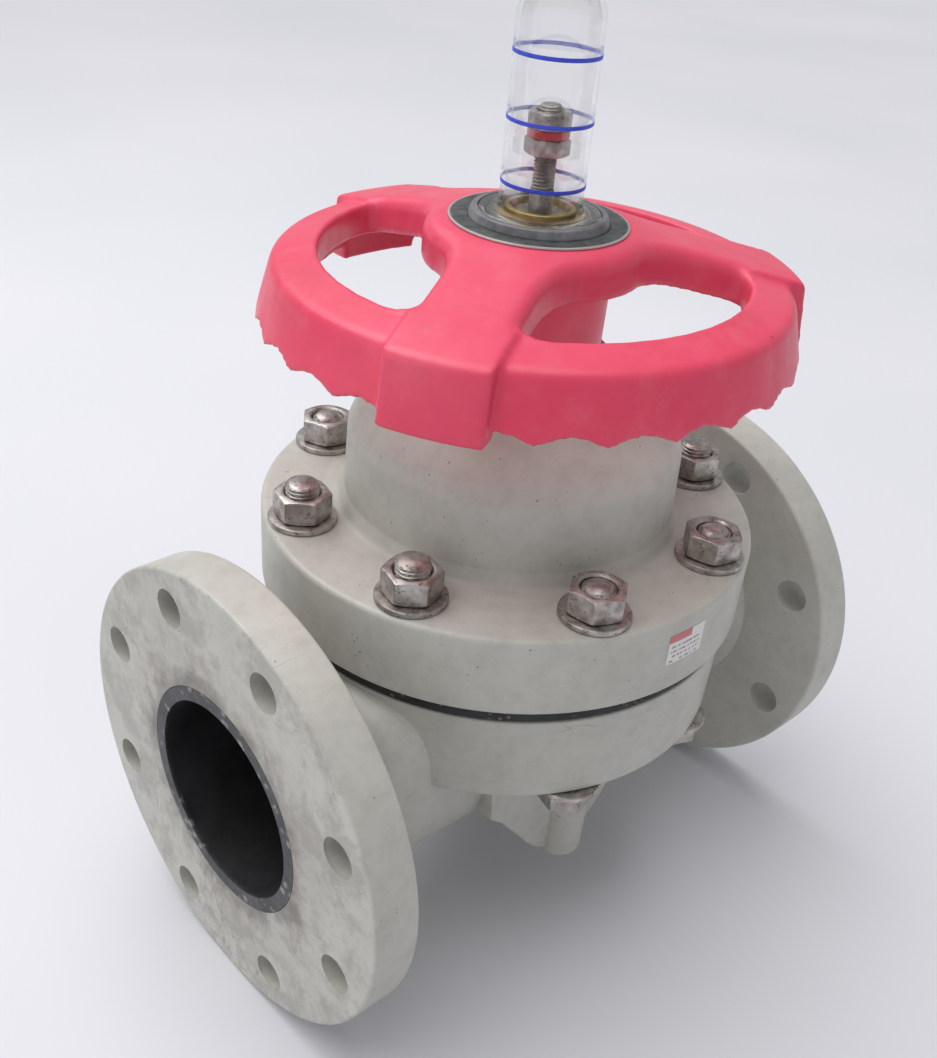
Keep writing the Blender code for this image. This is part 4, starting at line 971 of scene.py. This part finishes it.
HEAD_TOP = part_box("lower_washer_1")[0].z / MM - FLANGE_R - 0.3
for number, angle in enumerate(BOLT_ANGLES, 1):
    bolted = angle in through
    if bolted:
        node = f"body_bolt_{through.index(angle) + 1}"
    else:
        node = f"body_stud_{over_necks.index(angle) + 1}"
    low, high = [corner.z / MM - FLANGE_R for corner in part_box(node)]
    domed = high < 125.0
    centre = place_of(angle)
    shank_low = HEAD_TOP - 2.0 if bolted else low
    shank = thread("shank", M16_R, M16_THREAD_DEPTH, M16_PITCH, 118.0, high, centre)
    plain = turned("plain", [(0.0, 119.0), (7.9, 119.0), (7.9, shank_low), (0.0, shank_low)], 48, centre,
                   closed=False)
    boolean(shank, plain, "UNION")
    if domed:
        tip = [(0.0, high), (2.5, high), (4.8, high - 0.35), (6.2, high - 1.0), (6.9, high - 2.2),
               (9.0, high - 2.6)]
    else:
        tip = [(0.0, high), (6.0, high), (7.2, high - 0.7), (8.6, high - 2.2)]
    reach = tip[-1][0]
    tip += [(reach, shank_low - 1.0), (0.0, shank_low - 1.0)]
    boolean(shank, turned("tip", tip, 48, centre, closed=False), "INTERSECT")
    smooth(shank, 40.0)
    if bolted:
        head = nut(M16_FLATS, low, HEAD_TOP, 0.0, centre, 25.0 * (through.index(angle) + 1), both=False)
        gather("bolt", [shank, head])
    fit(shank, f"bolt_{number}" if bolted else f"stud_{number}", "valve_body", "stainless", STAINLESS, node)

# ---- Sleeve and stem ----------------------------------------------------------------------
# The brass sleeve is turned with the wheel and drives the stainless stem up and down. The
# stem's thin end carries an M10 thread for the position indicator.

low, high = [corner.z / MM - FLANGE_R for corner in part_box("sleeve")]
collar_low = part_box("thrust_ring_lower")[1].z / MM - FLANGE_R + 0.3
collar_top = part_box("thrust_ring_upper")[0].z / MM - FLANGE_R - 0.3
sleeve = turned("sleeve_turning", rounded([
    (13.3, high), (15.6, high, 0.8), (15.6, 247.0), (19.1, 247.0, 0.4), (19.1, 237.7), (17.0, 237.7),
    (17.0, 189.5), (19.6, 189.5), (19.6, collar_top), (26.5, collar_top, 0.5), (26.5, collar_low, 0.5),
    (19.6, collar_low), (19.6, low + 9.0), (18.3, low + 9.0), (18.3, low + 6.0), (19.6, low + 6.0),
    (19.6, low, 0.5), (13.3, low)], 3), 96)
drive = hexagon_bar(33.9, 190.2, 236.8, (0.0, 0.0), 0.0)
boolean(drive, drills(15.0, 180.0, 245.0, [(0.0, 0.0)]), "DIFFERENCE")
boolean(sleeve, drive, "UNION")
smooth(sleeve)


def machined_brass():
    """Free-cutting brass: warm yellow, fine turning marks, and dull brown patches of oxide."""
    made, tree, shader, where = blank_material("machined_brass", Metallic=1.0)
    film = add_node(tree, "ValToRGB", {
        "Fac": add_node(tree, "TexNoise", {
            "Vector": where, "Scale": 140.0, "Detail": 5.0, "Roughness": 0.6}),
        "stops": [(0.3, linear("a5894e")), (0.55, linear("c2a868")), (0.8, linear("d8c48a"))]})
    tree.links.new(film, shader.inputs["Base Color"])
    tree.links.new(add_node(tree, "ValToRGB", {
        "Fac": add_node(tree, "TexNoise", {
            "Vector": where, "Scale": 260.0, "Detail": 4.0, "Roughness": 0.5}),
        "stops": [(0.3, 0.26), (0.7, 0.42)]}), shader.inputs["Roughness"])
    rings = add_node(tree, "TexWave", {
        "wave_type": "BANDS", "bands_direction": "Z", "Scale": 1100.0, "Distortion": 1.0,
        "Vector": where}, "Fac")
    tree.links.new(add_node(tree, "Bump", {
        "Height": rings, "Distance": 0.05 * MM, "Strength": 0.5}), shader.inputs["Normal"])
    return made


BRASS = machined_brass()
fit(sleeve, "sleeve_turning", "wheel", "brass", BRASS, "sleeve")

low, high = [corner.z / MM - FLANGE_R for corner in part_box("stem")]
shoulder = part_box("stem_joint")[1].z / MM - FLANGE_R + 0.3
rod = thread("stem_rod", 4.9, 0.7, 1.5, 258.0, high, (0.0, 0.0), 32)
tip = [(0.0, high), (3.9, high), (5.4, high - 1.5), (5.4, 250.0), (0.0, 250.0)]
boolean(rod, turned("rod_tip", tip, 48, closed=False), "INTERSECT")
screw = turned("stem_screw", rounded([
    (0.0, 259.0), (4.8, 259.0, 0.4), (5.2, 258.4), (5.2, 249.0), (11.5, 249.0), (13.0, 247.5),
    (13.0, shoulder), (9.0, shoulder), (9.0, low), (0.0, low)], 3), 64, closed=False)
boolean(rod, screw, "UNION")
smooth(rod, 40.0)
DULL_STEEL = stainless("stainless_rod", "9a938e", (0.36, 0.55))
fit(rod, "stem_screw", "stem_group", "stainless", DULL_STEEL, "stem")

# ---- Position indicator -------------------------------------------------------------------
# Two stainless nuts lock a small red disc on the rod, so the disc shows the stem's height.

for node, turn in (("indicator_nut_lower", 10.0), ("indicator_nut_upper", 34.0)):
    low, high = [corner.z / MM - FLANGE_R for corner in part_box(node)]
    made = nut(17.0, low, high, 5.2, (0.0, 0.0), turn)
    fit(made, node.replace("indicator", "lock"), "stem_group", "stainless", DULL_STEEL, node)

low, high = [corner.z / MM - FLANGE_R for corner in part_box("indicator_disc")]
disc = turned("marker_disc", rounded([(5.2, high), (9.0, high, 0.6), (9.0, low, 0.6), (5.2, low)], 3), 64)


def marker_red():
    """Moulded red disc, semi-gloss and a little dusty."""
    made, tree, shader, where = blank_material("marker_plastic", Roughness=0.4)
    tone = add_node(tree, "ValToRGB", {
        "Fac": add_node(tree, "TexNoise", {
            "Vector": where, "Scale": 200.0, "Detail": 4.0, "Roughness": 0.5}),
        "stops": [(0.3, linear("a8182c")), (0.7, linear("c22a3e"))]})
    tree.links.new(tone, shader.inputs["Base Color"])
    tree.links.new(add_node(tree, "Bump", {
        "Height": add_node(tree, "TexNoise", {
            "Vector": where, "Scale": 900.0, "Detail": 4.0, "Roughness": 0.5}), "Distance": 0.05 * MM,
        "Strength": 0.4}), shader.inputs["Normal"])
    return made


fit(smooth(disc), "marker_disc", "stem_group", "disc_red", marker_red(), "indicator_disc")

# ---- Nameplate and seat ring --------------------------------------------------------------
# A printed ring of dark anodised sheet lies on the hub inside a bright edge, and a black ring
# over it centres the gauge cover. The print itself is left out.

low, high = [corner.z / MM - FLANGE_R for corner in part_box("nameplate")]
outline = rounded([(31.3, high), (39.6, high, 0.25), (39.6, low), (31.3, low)], 2)
plate = turned("nameplate_ring", outline, 128)


def printed_plate():
    """Anodised sheet printed near black, with the bare metal left as a thin line at the edge."""
    made, tree, shader, where = blank_material("printed_anodised_sheet", Roughness=0.42)
    flat = add_node(tree, "VectorMath", {"operation": "MULTIPLY", 1: (1.0, 1.0, 0.0), 0: where})
    reach = add_node(tree, "VectorMath", {"operation": "LENGTH", 0: flat}, "Value")
    edge = add_node(tree, "ValToRGB", {
        "Fac": add_node(tree, "Math", {"operation": "MULTIPLY", 0: reach, 1: 10.0}),
        "stops": [(0.386, 0.0), (0.388, 1.0)]})
    dust = add_node(tree, "ValToRGB", {
        "Fac": add_node(tree, "TexNoise", {
            "Vector": where, "Scale": 220.0, "Detail": 6.0, "Roughness": 0.7}),
        "stops": [(0.4, linear("3c403f")), (0.75, linear("6a6d6c"))]})
    tree.links.new(add_node(tree, "Mix", {
        "data_type": "RGBA", 0: edge, 6: dust, 7: linear("c9c6c4")}, 2), shader.inputs["Base Color"])
    tree.links.new(add_node(tree, "ValToRGB", {
        "Fac": edge, "stops": [(0.0, 0.3), (1.0, 0.9)]}), shader.inputs["Metallic"])
    tree.links.new(add_node(tree, "ValToRGB", {
        "Fac": add_node(tree, "TexNoise", {
            "Vector": where, "Scale": 150.0, "Detail": 4.0, "Roughness": 0.5}),
        "stops": [(0.3, 0.36), (0.7, 0.55)]}), shader.inputs["Roughness"])
    tree.links.new(add_node(tree, "Bump", {
        "Height": add_node(tree, "TexNoise", {
            "Vector": where, "Scale": 1200.0, "Detail": 4.0, "Roughness": 0.5}), "Distance": 0.03 * MM,
        "Strength": 0.4}), shader.inputs["Normal"])
    return made


fit(smooth(plate), "nameplate_ring", "wheel", "plate_black", printed_plate(), "nameplate")

low, high = [corner.z / MM - FLANGE_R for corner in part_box("cover_seat_ring")]
seat = turned("seat_ring", rounded([(27.1, high), (29.6, high, 1.2), (31.0, low + 1.2, 0.6), (31.0, low),
                                    (27.1, low)]), 128)


def seat_plastic():
    """Black moulded ring, glossy under a film of grey dust."""
    made, tree, shader, where = blank_material("moulded_black_ring", Roughness=0.3)
    tone = add_node(tree, "ValToRGB", {
        "Fac": add_node(tree, "TexNoise", {
            "Vector": where, "Scale": 90.0, "Detail": 6.0, "Roughness": 0.65}),
        "stops": [(0.35, linear("55555a")), (0.75, linear("8d8c90"))]})
    tree.links.new(tone, shader.inputs["Base Color"])
    tree.links.new(add_node(tree, "ValToRGB", {
        "Fac": add_node(tree, "TexNoise", {
            "Vector": where, "Scale": 120.0, "Detail": 4.0, "Roughness": 0.5}),
        "stops": [(0.3, 0.25), (0.7, 0.45)]}), shader.inputs["Roughness"])
    tree.links.new(add_node(tree, "Bump", {
        "Height": add_node(tree, "TexNoise", {
            "Vector": where, "Scale": 600.0, "Detail": 4.0, "Roughness": 0.5}), "Distance": 0.08 * MM,
        "Strength": 0.4}), shader.inputs["Normal"])
    return made


SEAT_PLASTIC = seat_plastic()
fit(smooth(seat), "seat_ring", "wheel", "seat_black", SEAT_PLASTIC, "cover_seat_ring")
low, high = [corner.z / MM - FLANGE_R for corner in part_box("wheel_ring_nut")]
outline = rounded([(19.5, high), (29.9, high, 0.8), (29.9, low, 0.8), (19.5, low)], 3)
ring_nut = turned("ring_nut", outline, 96)
fit(smooth(ring_nut), "ring_nut", "wheel", "seat_black", SEAT_PLASTIC, "wheel_ring_nut")

# ---- Gauge cover --------------------------------------------------------------------------
# Injection-moulded clear polycarbonate: a flange that sits on an O-ring, a straight tube and a
# round end. Three blue rings are printed on it for the stem's positions.

low, high = [corner.z / MM - FLANGE_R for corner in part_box("gauge_cover")]
TUBE_R = 18.2
TUBE_WALL = 2.0
inner_r = TUBE_R - TUBE_WALL
spring = high - TUBE_R
outside = [(TUBE_R * math.sin(math.radians(a)), spring + TUBE_R * math.cos(math.radians(a)))
           for a in range(0, 91, 6)]
inside = [(inner_r * math.sin(math.radians(a)), spring + inner_r * math.cos(math.radians(a)))
          for a in range(90, -1, -6)]
foot_shape = rounded([(TUBE_R, low + 12.0), (TUBE_R, low + 8.0), (TUBE_R + 0.7, low + 5.6, 1.2),
                      (21.5, low + 4.9, 1.0), (26.8, low + 4.4, 1.4), (26.8, low, 0.4), (24.3, low),
                      (24.3, low + 1.6), (21.9, low + 1.6), (21.9, low), (19.4, low), (19.4, low + 2.0),
                      (inner_r, low + 2.0)], 4)
glass = turned("clear_cap", outside + foot_shape + inside, 96, closed=False)
smooth(glass, 40.0)


def clear_polycarbonate():
    """Clear PC: see-through face on, denser towards the edges of the tube, with hazy scuffs."""
    made, tree, shader, where = blank_material("clear_polycarbonate", Roughness=0.06, IOR=1.52)
    shader.inputs["Transmission Weight"].default_value = 1.0
    facing = add_node(tree, "LayerWeight", {"Blend": 0.35}, "Facing")
    cover_share = add_node(tree, "ValToRGB", {
        "Fac": facing, "stops": [(0.0, 0.16), (0.55, 0.3), (1.0, 0.85)]})
    haze = add_node(tree, "ValToRGB", {
        "Fac": add_node(tree, "TexNoise", {
            "Vector": where, "Scale": 160.0, "Detail": 6.0, "Roughness": 0.7}),
        "stops": [(0.6, 0.0), (0.85, 0.2)]})
    flat = add_node(tree, "VectorMath", {"operation": "MULTIPLY", 1: (1.0, 1.0, 0.0), 0: where})
    reach = add_node(tree, "VectorMath", {"operation": "LENGTH", 0: flat}, "Value")
    thick = add_node(tree, "ValToRGB", {
        "Fac": add_node(tree, "Math", {"operation": "MULTIPLY", 0: reach, 1: 10.0}),
        "stops": [(0.185, 0.0), (0.205, 0.55)]})
    share = add_node(tree, "Math", {
        "operation": "ADD", 0: add_node(tree, "Math", {"operation": "ADD", 0: cover_share, 1: haze}),
        1: thick})
    tree.links.new(share, shader.inputs["Alpha"])
    tree.links.new(add_node(tree, "Mix", {
        "data_type": "RGBA", 0: thick, 6: linear("f6f6f4"),
        7: linear("c9bfc2")}, 2), shader.inputs["Base Color"])
    tree.links.new(add_node(tree, "ValToRGB", {
        "Fac": add_node(tree, "TexNoise", {
            "Vector": where, "Scale": 220.0, "Detail": 5.0, "Roughness": 0.5}),
        "stops": [(0.4, 0.03), (0.8, 0.2)]}), shader.inputs["Roughness"])
    tree.links.new(add_node(tree, "Bump", {
        "Height": add_node(tree, "TexNoise", {
            "Vector": where, "Scale": 60.0, "Detail": 2.0, "Roughness": 0.5}), "Distance": 0.4 * MM,
        "Strength": 0.15}), shader.inputs["Normal"])
    return made


fit(glass, "clear_cap", "wheel", "clear_cover", clear_polycarbonate(), "gauge_cover")
low, high = [corner.z / MM - FLANGE_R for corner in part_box("cover_o_ring")]
ring_z = (low + high) / 2
section = [(23.1 + 0.75 * math.cos(a * math.pi / 6), ring_z + 0.7 * math.sin(a * math.pi / 6))
           for a in range(12)]
o_ring = turned("cap_o_ring", section, 96)
fit(smooth(o_ring, 60.0), "cap_o_ring", "wheel", "black_rubber", RUBBER, "cover_o_ring")


def band_ink():
    """Blue pad-printing ink: flat and opaque, thin in places."""
    made, tree, shader, where = blank_material("blue_printing_ink", Roughness=0.45)
    tone = add_node(tree, "ValToRGB", {
        "Fac": add_node(tree, "TexNoise", {
            "Vector": where, "Scale": 260.0, "Detail": 4.0, "Roughness": 0.5}),
        "stops": [(0.3, linear("2a3fc4")), (0.7, linear("3d55dc"))]})
    tree.links.new(tone, shader.inputs["Base Color"])
    tree.links.new(add_node(tree, "Bump", {
        "Height": add_node(tree, "TexNoise", {
            "Vector": where, "Scale": 1500.0, "Detail": 4.0, "Roughness": 0.5}), "Distance": 0.03 * MM,
        "Strength": 0.4}), shader.inputs["Normal"])
    return made


BAND_INK = band_ink()
for number, height in enumerate((261.8, 287.5, 313.1), 1):
    outline = rounded([(TUBE_R + 0.02, height + 0.85), (TUBE_R + 0.16, height + 0.85, 0.05),
                       (TUBE_R + 0.16, height - 0.85, 0.05), (TUBE_R + 0.02, height - 0.85)], 2)
    band = turned("band", outline, 96)
    fit(smooth(band), f"printed_band_{number}", "wheel", "clear_cover", BAND_INK)

# ---- Sticker ------------------------------------------------------------------------------
# A paper stock label on the bonnet flange's edge. Its print is replaced by plain bars.

LABEL_R = BONNET_R + 0.12
bpy.ops.object.select_all(action="DESELECT")
bpy.ops.mesh.primitive_grid_add(x_subdivisions=12, y_subdivisions=2, size=1.0)
label = bpy.context.object
for vertex in label.data.vertices:
    angle = math.radians(-91.5 + 11.0 * vertex.co.x)
    height = 91.0 + 16.0 * vertex.co.y
    vertex.co = Vector((LABEL_R * math.cos(angle) * MM, LABEL_R * math.sin(angle) * MM, AXIS + height * MM))
step = label.modifiers.new("paper", "SOLIDIFY")
step.thickness = 0.1 * MM
step.offset = 0.0
bpy.ops.object.modifier_apply(modifier=step.name)


def label_paper():
    """White label stock with a red bar and rows of grey bars in place of print."""
    made, tree, shader, where = blank_material("label_stock", Roughness=0.5)
    own = add_node(tree, "Mapping", {
        "Location": (0.638, 0.0, -(AXIS + 0.083) * 62.5), "Scale": (43.1, 1.0, 62.5), "Vector": where})
    u = add_node(tree, "SeparateXYZ", {"Vector": own}, "X")
    v = add_node(tree, "SeparateXYZ", {"Vector": own}, "Z")
    rows = add_node(tree, "TexWave", {
        "wave_type": "BANDS", "bands_direction": "Z", "Scale": 1.9, "Vector": own}, "Fac")
    rows = add_node(tree, "ValToRGB", {"Fac": rows, "stops": [(0.55, 0.0), (0.62, 1.0)]})
    gaps = add_node(tree, "ValToRGB", {
        "Fac": add_node(tree, "TexNoise", {
            "Vector": add_node(tree, "Mapping", {"Scale": (22.0, 1.0, 5.0), "Vector": own}), "Scale": 1.0,
            "Detail": 0.0, "Roughness": 0.5}), "stops": [(0.44, 0.0), (0.48, 1.0)]})
    inset = add_node(tree, "Math", {
        "operation": "MULTIPLY",
        0: add_node(tree, "ValToRGB", {"Fac": u, "stops": [(0.07, 0.0), (0.08, 1.0)]}),
        1: add_node(tree, "ValToRGB", {"Fac": u, "stops": [(0.9, 1.0), (0.91, 0.0)]})})
    bars = add_node(tree, "Math", {
        "operation": "MULTIPLY", 0: add_node(tree, "Math", {"operation": "MULTIPLY", 0: rows, 1: gaps}),
        1: inset})
    bars = add_node(tree, "Math", {
        "operation": "MULTIPLY", 0: bars,
        1: add_node(tree, "ValToRGB", {"Fac": v, "stops": [(0.7, 1.0), (0.71, 0.0)]})})
    colour = add_node(tree, "Mix", {
        "data_type": "RGBA", 0: add_node(tree, "Math", {"operation": "MULTIPLY", 0: bars, 1: 0.7}),
        6: linear("e6e3e0"), 7: linear("6a5f63")}, 2)
    red = add_node(tree, "Math", {
        "operation": "MULTIPLY",
        0: add_node(tree, "ValToRGB", {"Fac": v, "stops": [(0.74, 0.0), (0.75, 1.0)]}),
        1: add_node(tree, "ValToRGB", {"Fac": u, "stops": [(0.6, 1.0), (0.61, 0.0)]})})
    colour = add_node(tree, "Mix", {
        "data_type": "RGBA", 0: add_node(tree, "Math", {"operation": "MULTIPLY", 0: red, 1: 0.85}),
        6: colour, 7: linear("c8505c")}, 2)
    tree.links.new(colour, shader.inputs["Base Color"])
    tree.links.new(add_node(tree, "Bump", {
        "Height": add_node(tree, "TexNoise", {
            "Vector": where, "Scale": 500.0, "Detail": 4.0, "Roughness": 0.5}), "Distance": 0.03 * MM,
        "Strength": 0.5}), shader.inputs["Normal"])
    return made


fit(smooth(label), "stock_label", "valve_body", "grey_pp", label_paper())

# ---- Inner works --------------------------------------------------------------------------
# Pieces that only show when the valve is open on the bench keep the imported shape. They get the
# finish of what they are made of: moulded nylon, acetal, turned steel, brass and rubber.


def dark_polymer():
    """Glass-filled nylon: charcoal, dry, with a faint grain of fibres."""
    made, tree, shader, where = blank_material("glass_filled_nylon", Roughness=0.55)
    tone = add_node(tree, "ValToRGB", {
        "Fac": add_node(tree, "TexNoise", {
            "Vector": where, "Scale": 320.0, "Detail": 5.0, "Roughness": 0.7}),
        "stops": [(0.35, linear("2c2d30")), (0.7, linear("414246"))]})
    tree.links.new(tone, shader.inputs["Base Color"])
    tree.links.new(add_node(tree, "Bump", {
        "Height": add_node(tree, "TexNoise", {
            "Vector": where, "Scale": 1200.0, "Detail": 4.0, "Roughness": 0.5}), "Distance": 0.1 * MM,
        "Strength": 0.5}), shader.inputs["Normal"])
    return made


def acetal():
    """Machined acetal: creamy white, waxy, with turning marks."""
    made, tree, shader, where = blank_material("machined_acetal", Roughness=0.4)
    tone = add_node(tree, "ValToRGB", {
        "Fac": add_node(tree, "TexNoise", {
            "Vector": where, "Scale": 90.0, "Detail": 4.0, "Roughness": 0.5}),
        "stops": [(0.3, linear("dcd8ca")), (0.7, linear("e9e6da"))]})
    tree.links.new(tone, shader.inputs["Base Color"])
    tree.links.new(add_node(tree, "Bump", {
        "Height": add_node(tree, "TexNoise", {
            "Vector": where, "Scale": 900.0, "Detail": 4.0, "Roughness": 0.5}), "Distance": 0.06 * MM,
        "Strength": 0.4}), shader.inputs["Normal"])
    return made


NYLON = dark_polymer()
ACETAL = acetal()
finishes = {"compressor": NYLON, "compressor_pin": DULL_STEEL, "stem_joint": DULL_STEEL,
            "diaphragm_stud": DULL_STEEL, "thrust_ring_lower": ACETAL, "thrust_ring_upper": ACETAL,
            "sleeve_retainer": DULL_STEEL, "sleeve_o_ring": RUBBER}
for number in range(1, 5):
    finishes[f"stud_insert_{number}"] = BRASS
for number in (1, 2):
    finishes[f"foot_insert_{number}"] = BRASS
for node, look in finishes.items():
    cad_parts[node].data.materials.clear()
    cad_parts[node].data.materials.append(look)
